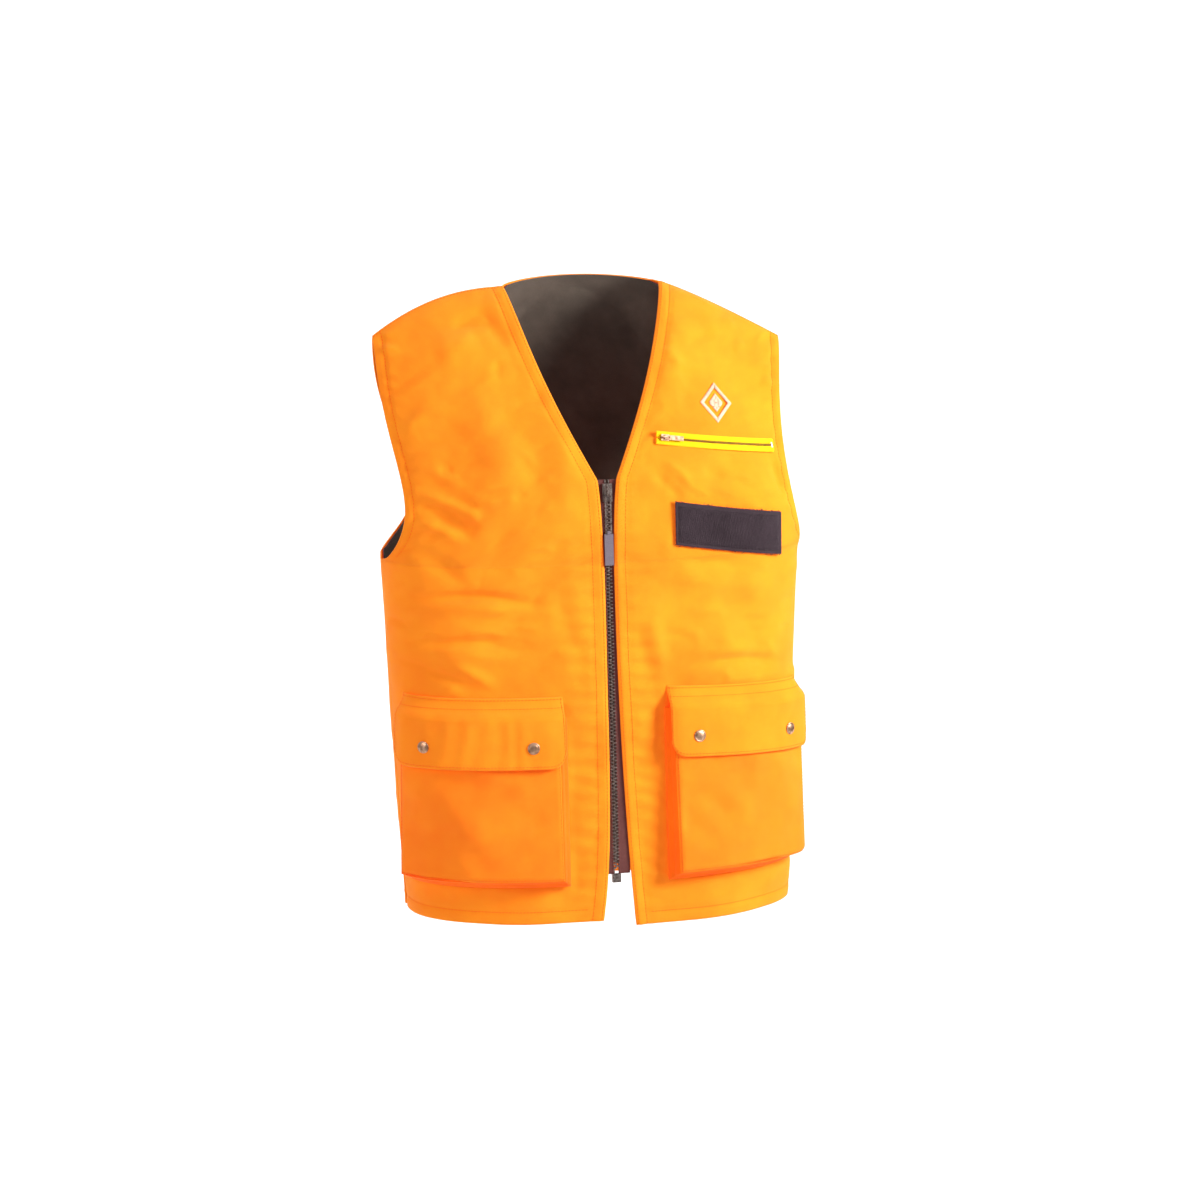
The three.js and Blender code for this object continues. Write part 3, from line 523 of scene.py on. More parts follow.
def hemmed_edges(side, x, z, gaps):
    """The cloth is folded under along its free edges, which lie a little higher than the
    stitched line beside them; the armhole's edge is gathered, and the hem waves."""
    fold = np.maximum(near(gaps.edge, 4, 6.5), near(gaps.hem, 6, 8))
    total = 0.45 * fold * smooth(gaps.edge / 3) * smooth((gaps.side - 1) / 6)
    inland = smooth(gaps.edge / 30) * smooth(gaps.side / 30)
    total += 1.6 * np.sin(x / 21 + side.seed) * smooth((60 - gaps.hem) / 60) * inland
    at_armhole = smooth((z - ARMPIT_Z) / 20) * smooth(gaps.top / 14)
    gathers = np.sin(z / 2.6 + 4 * field_noise(x, z, 35, side.seed + 6))
    total += 0.7 * gathers * near(gaps.side, 13, 8) * at_armhole
    total -= 0.9 * near(gaps.side, 10, 2.8) * at_armhole
    return total - 0.95 * near(gaps.edge, 12, 2.8) - 0.8 * near(gaps.hem, 12.5, 3)


def front_folds(side, x, z, gaps):
    """Displacement of a front in millimetres, outward."""
    total = broad_folds(side, x, z) + stitched_puckers(side, x, z, gaps)
    total = total * looseness(side, x, z, gaps) + hemmed_edges(side, x, z, gaps)
    return np.clip(total, *FOLD_LIMITS)


# ---- panels ------------------------------------------------------------------------------

FRONT_GRID = (165, 70, 44, 92)  # rows below the armpit, above it, in the yoke; columns
BACK_GRID = (120, 100, 150)  # rows below the armpit and above it; columns


def seam_angle(z):
    """Where the side seam lies round a level section."""
    return math.asin((SEAM_GAP / half_depth(z)) ** (SQUARENESS / 2))


def level_row(side, z, share):
    """x of one level row of a front, from its outer edge to its inner edge."""
    outer = half_width(side, z) if z <= ARMPIT_Z else armhole_x(side, z, side.scoop)
    start = max(seam_angle(z), float(angle_at(side, outer, z)))
    end = float(angle_at(side, inner_edge_x(side, z), z))
    return x_at_angle(side, lerp(start, end, share), z)


def front_grid(side):
    """x and z of one front from hem to shoulder, rows upward, outer edge first."""
    below, above, upper, columns = FRONT_GRID
    low = np.linspace(HEM_Z + side.hem_lift, ARMPIT_Z, below + 1)
    high = np.linspace(ARMPIT_Z, YOKE_LEVEL, above + 1)[1:]
    share = np.linspace(0, 1, columns + 1)
    rows = []
    for z in np.concatenate([low, high]):
        x = level_row(side, z, share)
        rows.append(np.stack([x, np.full_like(x, z)], axis=-1))
    base = rows[-1][:, 0]
    base_share = (base - base[0]) / (base[-1] - base[0])
    top = shoulder_z(side, lerp(side.reach, NECK_HALF, base_share))
    for t in np.linspace(0, 1, upper + 1)[1:]:
        up = 1 - (1 - t) ** 1.5
        outer = armhole_x(side, lerp(YOKE_LEVEL, -side.drop, up), side.scoop)
        inner = inner_edge_x(side, lerp(YOKE_LEVEL, 0.0, up))
        x = lerp(outer, inner, base_share)
        rows.append(np.stack([x, lerp(YOKE_LEVEL, top, up)], axis=-1))
    return np.array(rows)


def front_surface(side):
    grid = front_grid(side)
    x, z = grid[..., 0], grid[..., 1]
    points = front_point(side, x, z)
    points[..., 1] = np.minimum(points[..., 1], -SEAM_GAP / 2)
    arcs = arc_lengths(points)
    to_shoulder = np.linalg.norm(points - points[-1:], axis=-1)
    gaps = Gaps(
        edge=arcs[:, -1:] - arcs,
        side=arcs,
        hem=z - z[:1].min(),
        top=np.where(z > YOKE_LEVEL - 80, to_shoulder, 200.0),
    )
    folds = front_folds(side, x, z, gaps)
    return points + outward_normals(points) * folds[..., None]


def back_row(side, z, up, share):
    """One side's part of a row of the back; up runs from 0 at the armpit to 1 at the top."""
    at_seam = x_at_angle(side, lerp(math.pi / 2, seam_angle(z), share), z)
    if up == 0:
        lifted = z + side.hem_lift * smooth(share) * seam_share(z) ** 4
        return back_point(side, at_seam, lifted)
    outer = armhole_x(side, lerp(ARMPIT_Z, -side.drop, up), BACK_SCOOP)
    top_x = at_seam / side.seam[0] * side.reach
    nape = NAPE_LIFT * np.maximum(0, 1 - (top_x / NECK_HALF) ** 2)
    top = np.where(top_x < NECK_HALF, nape, shoulder_z(side, top_x))
    points = back_point(side, at_seam / side.seam[0] * outer, lerp(ARMPIT_Z, top, up))
    least = lerp(middle_y(ARMPIT_Z), SEAM_GAP / 2, smooth(up / 0.6))
    points[..., 1] = np.maximum(points[..., 1], least)
    return points


def back_folds(points):
    x, z = points[..., 0], points[..., 2]
    arcs = arc_lengths(points)
    gap = np.minimum(arcs, arcs[:, -1:] - arcs)
    folds = 3.2 * field_noise(x, z, 110, 21.0, 1.8) + 1.4 * field_noise(x, z, 45, 25.0, 1.3)
    folds += 0.5 * field_noise(x, z, 19, 28.0, 0.8)
    for sign in (-1, 1):
        folds += ridge(sign * x, z, (150, -150), (60, -330), 22, 2.4)
        folds += ridge(sign * x, z, (185, -250), (90, -400), 16, -2.2)
        folds += ridge(sign * x, z, (195, -300), (120, -470), 18, 1.8)
    folds += ridge(x, z, (-140, -420), (150, -432), 9, -1.6)
    folds *= smooth((gap - 1) / 16) * smooth(np.linalg.norm(points - points[-1:], axis=-1) / 14)
    folds *= 0.4 + 0.6 * smooth((z - HEM_Z) / 45)
    return folds + 0.4 * near(z, HEM_Z + 6, 8)


def back_surface():
    below, above, columns = BACK_GRID
    share = np.linspace(-1, 1, columns + 1)
    halves = ((RIGHT, -share[share < 0]), (LEFT, share[share >= 0]))
    levels = [(z, 0.0) for z in np.linspace(HEM_Z, ARMPIT_Z, below)]
    levels += [(ARMPIT_Z, 1 - (1 - t) ** 1.3) for t in np.linspace(0, 1, above)[1:]]
    rows = [[back_row(side, z, up, part) for side, part in halves] for z, up in levels]
    points = np.array([np.concatenate(row) for row in rows])
    return points + outward_normals(points) * back_folds(points)[..., None]


# ---- materials ---------------------------------------------------------------------------


class Nodes:
    """A material's node tree with short calls to add and join nodes."""

    def __init__(self, name):
        self.material = bpy.data.materials.new(name)
        self.material.use_nodes = True
        self.tree = self.material.node_tree
        self.shader = self.tree.nodes["Principled BSDF"]

    def add(self, kind, **inputs):
        node = self.tree.nodes.new(kind)
        for key, value in inputs.items():
            node.inputs[key].default_value = value
        return node

    def link(self, source, output, target, socket):
        self.tree.links.new(source.outputs[output], target.inputs[socket])

    def placed(self, node, uv):
        self.link(self.add("ShaderNodeTexCoord"), "UV" if uv else "Object", node, "Vector")
        return node

    def noise(self, uv, scale, detail=3.0):
        node = self.add("ShaderNodeTexNoise", Scale=scale, Detail=detail, Roughness=0.6)
        return self.placed(node, uv)

    def wave(self, uv, scale, angle):
        turn = self.placed(self.add("ShaderNodeMapping", Rotation=(0, 0, angle)), uv)
        node = self.add("ShaderNodeTexWave", Scale=scale, Distortion=0.6, Detail=1.0)
        self.link(turn, "Vector", node, "Vector")
        return node

    def ramp(self, source, output, low, high):
        """Colour from one (position, colour) to another."""
        node = self.add("ShaderNodeValToRGB")
        for element, (position, colour) in zip(node.color_ramp.elements, (low, high)):
            element.position = position
            element.color = (*colour, 1)
        self.link(source, output, node, "Fac")
        return node

    def scaled(self, source, output, factor, offset):
        """The output times a factor plus an offset, a number or another node's Fac."""
        node = self.add("ShaderNodeMath")
        node.operation = "MULTIPLY_ADD"
        self.link(source, output, node, 0)
        node.inputs[1].default_value = factor
        if isinstance(offset, float):
            node.inputs[2].default_value = offset
        else:
            self.link(offset, "Fac", node, 2)
        return node

    def bump(self, height, output, distance, strength, onto=None):
        node = self.add("ShaderNodeBump", Strength=strength, Distance=distance)
        self.link(height, output, node, "Height")
        if onto is not None:
            self.link(onto, "Normal", node, "Normal")
        return node

    def finish(self, colour, normal=None, rough=None, **plain):
        self.link(colour, "Color", self.shader, "Base Color")
        if normal is not None:
            self.link(normal, "Normal", self.shader, "Normal")
        if rough is not None:
            self.link(rough, 0, self.shader, "Roughness")
        for key, value in plain.items():
            self.shader.inputs[key.replace("_", " ")].default_value = value
        return self.material


WAVE_LENGTH = 0.31416  # metres between bands of a wave texture of scale 1
CLOTH_ROUGHNESS = 0.85


def woven(name, dark, light, pitch, glow=None, uv=True, sheen=0.06, diagonal=True):
    """Twill or plain weave at its real pitch, with slow variation of colour and wear; a glow is
    painted light: it stands for the dye's fluorescence and keeps the red of shaded folds up."""
    nodes = Nodes(name)
    scale = WAVE_LENGTH / (pitch * MM)
    warp = nodes.wave(uv, scale, math.radians(62 if diagonal else 0))
    weft = nodes.wave(uv, scale, math.radians(-28 if diagonal else 90))
    mix = nodes.scaled(nodes.noise(uv, 900.0, 2.0), "Fac", 0.35, nodes.noise(uv, 14.0, 4.0))
    colour = nodes.ramp(mix, 0, (0.42, dark), (0.88, light))
    fine = nodes.bump(nodes.scaled(warp, "Fac", 1.0, weft), 0, pitch * 0.22 * MM, 0.75)
    normal = nodes.bump(nodes.noise(uv, 160.0), "Fac", 0.35 * MM, 0.35, onto=fine)
    rough = nodes.scaled(nodes.noise(uv, 60.0), "Fac", 0.18, CLOTH_ROUGHNESS - 0.09)
    values = {"Sheen_Weight": sheen, "Sheen_Roughness": 0.45, "Specular_IOR_Level": 0.18}
    # The emission is painted light, as strong in shade as in light.
    if glow is not None:
        values.update(Emission_Color=(*glow, 1), Emission_Strength=1.0)
    return nodes.finish(colour, normal, rough, **values)


def metal(name, dark, light, roughness, scale=220.0):
    """Antiqued metal: darker in patches, finely scratched."""
    nodes = Nodes(name)
    patches = nodes.noise(False, scale, 5.0)
    colour = nodes.ramp(patches, "Fac", (0.35, dark), (0.65, light))
    normal = nodes.bump(nodes.noise(False, 2600.0), "Fac", 0.06 * MM, 0.5)
    rough = nodes.scaled(patches, "Fac", 0.25, roughness - 0.12)
    return nodes.finish(colour, normal, rough, Metallic=1.0)


def plastic(name, dark, light, roughness):
    nodes = Nodes(name)
    grain = nodes.noise(False, 900.0)
    colour = nodes.ramp(grain, "Fac", (0.3, dark), (0.7, light))
    normal = nodes.bump(grain, "Fac", 0.05 * MM, 0.4)
    return nodes.finish(colour, normal, nodes.scaled(grain, "Fac", 0.2, roughness - 0.1))


# GLOW and GUSSET_GLOW are painted light: a steady red emission that keeps the cloth red where it lies
# in shade.
GLOW = (0.31, 0.006, 0.002)
GUSSET_GLOW = (0.30, 0.006, 0.0)
ORANGE = woven("orange twill", (0.80, 0.255, 0.007), (0.86, 0.36, 0.012), 0.55, GLOW)
# The pocket faces: the same orange twill with painted shade, darker and redder than the fronts.
SHADED_POCKET_CLOTH = woven("orange twill pocket", (0.80, 0.21, 0.006), (0.86, 0.30, 0.010), 0.55, GLOW)
# The bellows: the same orange twill with painted shade, redder still, as the sides of the pockets lie
# in shade.
SHADED_GUSSET = woven("orange twill gusset", (0.85, 0.15, 0.004), (0.95, 0.22, 0.004), 0.55, GUSSET_GLOW)
LINING = woven(
    "dark lining", (0.060, 0.048, 0.040), (0.128, 0.102, 0.084), 0.35, sheen=0.12, diagonal=False
)
TAPE = woven(
    "zip tape", (0.10, 0.030, 0.030), (0.17, 0.060, 0.055), 0.6, uv=False, diagonal=False
)
YELLOW = woven(
    "yellow tape", (1.0, 0.58, 0.0), (1.0, 0.70, 0.01), 0.7, (0.10, 0.05, 0.0), diagonal=False
)
THREAD = woven(
    "orange thread", (0.60, 0.10, 0.003), (0.85, 0.19, 0.005), 0.25, (0.22, 0.004, 0.0), False
)
PALE_THREAD = woven("pale thread", (0.62, 0.48, 0.34), (0.86, 0.74, 0.58), 0.25, None, False, 0.1)
PILE = woven("loop pile", (0.022, 0.012, 0.018), (0.055, 0.036, 0.048), 0.9, None, False, 0.15)
RED_THREAD = woven(
    "red thread", (0.55, 0.05, 0.01), (0.85, 0.16, 0.02), 0.3, (0.08, 0.0, 0.0), False
)
BRASS = metal("antique brass", (0.34, 0.17, 0.10), (0.80, 0.52, 0.36), 0.42)
ZIP_METAL = metal("zip metal", (0.20, 0.14, 0.13), (0.60, 0.50, 0.46), 0.36, 500.0)
COIL = plastic("coil nylon", (0.20, 0.10, 0.01), (0.42, 0.24, 0.02), 0.45)
TAB = plastic("pull tab", (0.13, 0.105, 0.14), (0.20, 0.165, 0.21), 0.6)

# ---- camera, light and floor -------------------------------------------------------------

AZIMUTH = -14.0
ELEVATION = 12.5
DISTANCE = 4.5
MIDDLE = Vector((0.0, -0.040, -0.335))
AIM_RIGHT = 0.0108
AIM_UP = -0.0039
FRAME_WIDTH = 1.296  # of the whole picture at the middle of the vest
FLOOR_Z = -1.5
SWEEP_START = 1.6  # behind the vest
SWEEP_RADIUS = 1.2


def direction(azimuth, elevation):
    """Unit vector from the vest at an azimuth and elevation in degrees."""
    turn, rise = math.radians(azimuth), math.radians(elevation)
    flat = math.cos(rise)
    return Vector((math.sin(turn) * flat, -math.cos(turn) * flat, math.sin(rise)))


def add_camera():
    back = direction(AZIMUTH, ELEVATION)
    right = Vector((math.cos(math.radians(AZIMUTH)), math.sin(math.radians(AZIMUTH)), 0))
    up = back.cross(right)
    data = bpy.data.cameras.new("camera")
    data.sensor_width = 36.0
    data.lens = data.sensor_width * DISTANCE / FRAME_WIDTH
    camera = link_new("camera", data)
    place = MIDDLE + right * AIM_RIGHT + up * AIM_UP + back * DISTANCE
    turn = Matrix((right, up, back)).transposed().to_4x4()
    camera.matrix_world = Matrix.Translation(place) @ turn
    bpy.context.scene.camera = camera


def add_light(name, azimuth, elevation, distance, size, power, colour, target=MIDDLE):
    data = bpy.data.lights.new(name, "AREA")
    data.shape = "RECTANGLE"
    data.size, data.size_y = size
    data.energy = power
    data.color = colour
    light = link_new(name, data)
    light.location = MIDDLE + direction(azimuth, elevation) * distance
    facing = Vector(target) - light.location
    light.rotation_euler = facing.to_track_quat("-Z", "Y").to_euler()


def add_backdrop():
    """A white sweep: a floor that curves up into a wall behind the vest."""
    profile = [(-5.0, FLOOR_Z)]
    for k in range(13):
        angle = math.pi / 2 * k / 12
        y = SWEEP_START + SWEEP_RADIUS * math.sin(angle)
        profile.append((y, FLOOR_Z + SWEEP_RADIUS * (1 - math.cos(angle))))
    profile.append((SWEEP_START + SWEEP_RADIUS, 4.0))
    vertices = [(x, y, z) for y, z in profile for x in (-5.0, 5.0)]
    faces = [(2 * k, 2 * k + 1, 2 * k + 3, 2 * k + 2) for k in range(len(profile) - 1)]
    mesh = bpy.data.meshes.new("backdrop")
    mesh.from_pydata(vertices, [], faces)
    mesh.shade_smooth()
    made = link_new("backdrop", mesh)
    nodes = Nodes("white paper")
    white, whiter = (0.3, (0.93, 0.93, 0.93)), (0.7, (0.96, 0.96, 0.96))
    colour = nodes.ramp(nodes.noise(False, 30.0), "Fac", white, whiter)
    made.data.materials.append(nodes.finish(colour, Roughness=0.9))


def add_studio():
    world = bpy.data.worlds.new("studio")
    world.use_nodes = True
    background = world.node_tree.nodes["Background"]
    background.inputs["Color"].default_value = (1, 1, 1, 1)
    background.inputs["Strength"].default_value = 0.18
    bpy.context.scene.world = world
    add_light("key", 57, 23, 2.0, (0.65, 0.65), 66, (1.0, 0.97, 0.92))
    add_light("top", -10, 55, 2.6, (0.7, 0.7), 5, (1.0, 0.98, 0.96))
    add_light("fill", -58, 14, 1.7, (0.6, 0.6), 10.5, (1.0, 0.94, 0.90))
    add_light("wash", 180, 62, 2.6, (4.4, 0.8), 120, (1.0, 1.0, 1.0), (0, 2.8, 0.2))
    add_backdrop()
    bpy.context.scene.view_settings.view_transform = "Standard"


add_camera()
add_studio()

# ---- the cloth ---------------------------------------------------------------------------

SHELL_THICKNESS = 2.0
LINING_THICKNESS = 1.0
LINING_DEPTH = 3.8  # from the outer face of the shell
FACING_DEPTH = 3.6
FACING_FROM = 0.8  # share of a front's columns where the lining ends and the facing starts
NECK_SEAM_DROP = 1.8  # of the back shell's edge below its lining's


def turn_with_front(piece, side):
    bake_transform(piece)


def add_front(side):
    """A front's shell, the lining behind it and the facing along its edge."""
    points = front_surface(side)
    normals = outward_normals(points)
    name = side.name
    shell = cloth_mesh(
        f"{name} front shell", points, SHELL_THICKNESS, ORANGE, None, 0.0, normals
    )
    turn_with_front(shell, side)
    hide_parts(f"yoke_{name}_shell", f"chest_{name}_shell", f"front_{name}_shell")
    strip = int(points.shape[1] * FACING_FROM)
    part = slice(3, -1), slice(1, strip)
    lining = cloth_mesh(
        f"{name} front lining",
        points[part],
        LINING_THICKNESS,
        LINING,
        None,
        LINING_DEPTH,
        normals[part],
    )
    turn_with_front(lining, side)
    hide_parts(f"yoke_{name}_lining", f"chest_{name}_lining", f"front_{name}_lining")
    part = slice(3, -1), slice(strip, -5)
    facing = cloth_mesh(
        f"{name} front facing",
        points[part],
        LINING_THICKNESS,
        ORANGE,
        None,
        FACING_DEPTH,
        normals[part],
    )
    turn_with_front(facing, side)
    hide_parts(f"front_{name}_facing")
    return Surface(points)


def add_back():
    points = back_surface()
    normals = outward_normals(points)
    cut = points.copy()
    cut[-1, :, 2] -= NECK_SEAM_DROP * smooth((NECK_HALF - np.abs(cut[-1, :, 0])) / 12)
    shell = cloth_mesh("back shell panel", cut, SHELL_THICKNESS, ORANGE, "torso", 0.0, normals)
    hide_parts("back_shell")
    part = slice(3, None), slice(1, -1)
    lining = cloth_mesh(
        "back lining panel",
        points[part],
        LINING_THICKNESS,
        LINING,
        "torso",
        LINING_DEPTH,
        normals[part],
    )
    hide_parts("back_lining")
    return Surface(points)


# ---- stitches ----------------------------------------------------------------------------


STITCH_PROFILE = [(-0.5, 0.35), (-0.36, 0.9), (0.0, 1.0), (0.36, 0.9), (0.5, 0.35)]
STITCH_SIDES = 6
STITCH_SINK = 0.12
HEM_STITCH = 12.5  # distance of the hem's stitching from the edge
ARMHOLE_STITCH = 10.0
TOPSTITCH = 2.4  # distance of a pocket's stitching from its edge


def stitch_rings(path, normals, lengths, centre, length, width, rise):
    """Rings of points round one stitch, which dips into the cloth at both ends."""
    turns = 2 * math.pi * np.arange(STITCH_SIDES) / STITCH_SIDES
    rings = []
    for along, size in STITCH_PROFILE:
        where = centre + along * length
        normal = unit(along_path(lengths, normals, where))
        ahead = along_path(lengths, path, where + 0.3)
        behind = along_path(lengths, path, where - 0.3)
        side = np.cross(unit(ahead - behind), normal)
        lift = rise * (1 - (2 * along) ** 2) - STITCH_SINK
        outward = np.outer(lift + np.sin(turns) * width * 0.36 * size, normal)
        sideways = np.outer(np.cos(turns) * width * 0.5 * size, side)
        rings.append(along_path(lengths, path, where) + outward + sideways)
    return np.concatenate(rings)


def stitch_line(path, normals, length=2.9, gap=0.8, width=0.75, rise=0.3):
    """Stitches as short bent capsules along a path in millimetres."""
    lengths = path_lengths(path)
    count = max(1, int(lengths[-1] / (length + gap)))
    pitch = lengths[-1] / count
    faces = tube_faces(len(STITCH_PROFILE), STITCH_SIDES)
    parts = []
    for k in range(count):
        rings = stitch_rings(path, normals, lengths, (k + 0.5) * pitch, length, width, rise)
        parts.append((rings, faces))
    return join_parts(parts)


def stitches(name, lines, material, body, slot="shell_cloth", **sizes):
    parts = [stitch_line(path, normals, **sizes) for path, normals in lines]
    vertices, faces = join_parts(parts)
    piece = new_object(name, vertices * MM, faces, material, body)
    return piece


def offset_columns(surface, distance, rows=slice(None)):
    """A path up a panel at a distance in millimetres from its first column, or from its
    last if the distance is negative."""
    points, normals = surface.points[rows], surface.normals[rows]
    path, facing = [], []
    for row, row_normals, arcs in zip(points, normals, arc_lengths(points)):
        target = distance if distance >= 0 else arcs[-1] + distance
        path.append(along_path(arcs, row, target))
        facing.append(along_path(arcs, row_normals, target))
    return np.array(path), np.array(facing)


def offset_rows(surface, distance, from_top=False, columns=slice(None)):
    """A path along a panel at a distance from its first row, or from its last."""
    points, normals = surface.points[:, columns], surface.normals[:, columns]
    heights = rise_lengths(points)
    path, facing = [], []
    for j in range(points.shape[1]):
        target = heights[-1, j] - distance if from_top else distance
        path.append(along_path(heights[:, j], points[:, j], target))
        facing.append(along_path(heights[:, j], normals[:, j], target))
    return np.array(path), np.array(facing)


def armhole_rows(surface):
    """The rows of a panel beside its armhole."""
    armpit = int(np.argmin(np.abs(surface.points[:, 0, 2] - ARMPIT_Z)))
    return slice(armpit + 3, None)


def stitch_front(side, surface):
    lines = [
        offset_columns(surface, -2.2),
        offset_columns(surface, -12.0),
        offset_rows(surface, HEM_STITCH, columns=slice(2, -4)),
        offset_columns(surface, ARMHOLE_STITCH, armhole_rows(surface)),
        offset_rows(surface, 3.0, from_top=True),
    ]
    piece = stitches(f"{side.name} front stitching", lines, THREAD, None)
    turn_with_front(piece, side)


def stitch_back(surface):
    lines = [
        offset_rows(surface, HEM_STITCH),
        offset_columns(surface, ARMHOLE_STITCH, armhole_rows(surface)),
        offset_columns(surface, -ARMHOLE_STITCH, armhole_rows(surface)),
        offset_rows(surface, 7.0, from_top=True),
    ]
    stitches("back stitching", lines, THREAD, "torso")


# ---- cargo pockets -----------------------------------------------------------------------


FLAP_HEIGHT = 72.0
FLAP_INSET = 3.5
FLAP_CORNER = 15.0
FLAP_HINGE = (1.0, 26.0)  # below the seam, where the flap starts and ends its bend
SNAP_SIDE_INSET = 4.0
MOUTH = 21.0  # from the flap's seam down to the pocket's mouth
POCKET_BOTTOM = -622.0
POCKET_INSET = 8.0  # of the pocket's face from the foot of its bellows
POCKET_DEPTH = (9.0, 20.0)  # at the flap's seam and at the bottom
# Sections of the bellows from the cloth to the pocket's face: inset, and share of the depth.
BELLOWS = [
    (0.0, 0.0),
    (-0.6, 0.12),
    (0.6, 0.26),
    (2.8, 0.40),
    (4.4, 0.50),
    (4.6, 0.58),
    (5.2, 0.72),
    (6.6, 0.90),
    (7.6, 1.0),
]


class PocketSkin:
    """The front's smooth skin under a pocket: arc from the inner edge of the bellows' foot,
    height, and lift outward."""

    def __init__(self, side):
        self.heights = np.linspace(-640.0, -395.0, 26)
        self.arcs = np.linspace(-6.0, side.pocket[1] + 6.0, 60)
        self.surface = Surface(np.array([self.row(side, z) for z in self.heights]))

    def row(self, side, z):
        start = side.pocket[0]
        angles = np.linspace(float(angle_at(side, start - 8, z)), 0.02, 160)
        walk = front_point(side, x_at_angle(side, angles, z), np.full_like(angles, z))
        lengths = path_lengths(walk)
        here = np.interp(float(angle_at(side, start, z)), angles[::-1], lengths[::-1])
        return along_path(lengths, walk, here + self.arcs)

    def at(self, arc, z, lift=0.0):
        u = (np.asarray(arc, float) - self.arcs[0]) / (self.arcs[-1] - self.arcs[0])
        v = (np.asarray(z, float) - self.heights[0]) / (self.heights[-1] - self.heights[0])
        u, v, lift = np.broadcast_arrays(u, v, lift)
        return self.surface.at(u, v, lift[..., None])


def pocket_depth(z):
    return lerp(*POCKET_DEPTH, (z - LEFT.flap_top) / (POCKET_BOTTOM - LEFT.flap_top))


def flap_seam(side, share):
    """Height of the flap's seam, at a share of the pocket's width from its inner edge."""
    return side.flap_top - side.flap_fall * share


def pocket_folds(side, arc, z):
    width = side.pocket[1]
    seed = 41.0 if side is RIGHT else 47.0
    folds = 3.4 * field_noise(arc, z, 60, seed, 1.4) + 1.7 * field_noise(arc, z, 24, seed + 3)
    if side is RIGHT:
        folds += ridge(arc, z, (175, -500), (50, -612), 20, 3.2)
        folds += ridge(arc, z, (150, -490), (20, -575), 16, -2.4)
    else:
        folds += ridge(arc, z, (40, -505), (110, -605), 18, 2.6)
        folds += ridge(arc, z, (90, -510), (150, -590), 16, -2.2)
    below_flap = smooth((side.flap_top - 54 - z) / 26)
    return folds * below_flap * smooth(np.minimum(arc - 6, width - 6 - arc) / 16)


def add_pocket_front(side, skin):
    width = side.pocket[1]
    across, up = np.meshgrid(np.linspace(0, 1, 74), np.linspace(0, 1, 78))
    arc = lerp(POCKET_INSET, width - POCKET_INSET, across)
    z = lerp(POCKET_BOTTOM + POCKET_INSET, flap_seam(side, across) - MOUTH, up)
    from_side = np.minimum(arc - POCKET_INSET, width - POCKET_INSET - arc)
    edge = np.minimum(from_side, z - POCKET_BOTTOM - POCKET_INSET)
    # Edges turn down a little towards the bellows, beyond a crisp stitched crease.
    lift = pocket_depth(z) + pocket_folds(side, arc, z) - 1.6 * near(edge, 0, 2.2)
    lift += 0.35 * near(edge, 4.5, 3.0)
    points, _ = skin.at(arc, z, lift)
    body = f"front_{side.name}"
    # The pocket face wears the copy of the twill with painted shade.
    piece = cloth_mesh(f"{side.name} pocket face", points, 1.5, SHADED_POCKET_CLOTH, body)
    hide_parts(f"pocket_{side.name}_front")
    surface = Surface(points)
    lines = [
        offset_columns(surface, TOPSTITCH),
        offset_columns(surface, -TOPSTITCH),
        offset_rows(surface, TOPSTITCH),
    ]
    stitches(f"{side.name} pocket stitching", lines, THREAD, body)


def bellows_line():
    """Places along the bellows, as shares of the pocket's width and of its height from the
    top: down one side, along the foot and up the other side."""
    down = np.linspace(0, 1, 50)
    across = np.linspace(0, 1, 60)[1:-1]
    share = np.concatenate([np.zeros(50), across, np.ones(50)])
    height = np.concatenate([down, np.ones(58), down[::-1]])
    return share, height


def add_bellows(side, skin):
    width = side.pocket[1]
    share, height = bellows_line()
    top = flap_seam(side, share) - MOUTH
    rows = []
    for inset, up in BELLOWS:
        arc = lerp(inset, width - inset, share)
        z = lerp(top, POCKET_BOTTOM + inset, height)
        crumple = 0.8 * field_noise(arc * 1.3, z, 22, 60.0 + inset) * math.sin(math.pi * up)
        points, _ = skin.at(arc, z, lerp(1.6, pocket_depth(z) - 1.2, up) + crumple)
        rows.append(points)
    name = f"{side.name} pocket gusset"
    # The bellows wear the copy of the twill with painted shade.
    piece = cloth_mesh(name, np.array(rows), 1.0, SHADED_GUSSET, f"front_{side.name}", 0.2)
    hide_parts(f"pocket_{side.name}_bellows")


def flap_waves(side, arc, z):
    """Ripples of a flap: close pleats on the right, wide ones on the left."""
    pitch, height, seed = (3.4, 0.42, 71.0) if side is RIGHT else (9.0, 0.3, 77.0)
    pleats = np.sin(arc / pitch + 5 * field_noise(arc, z, 50, seed, 2.5))
    return pleats * height + 1.5 * field_noise(arc, z, 46, seed + 4)


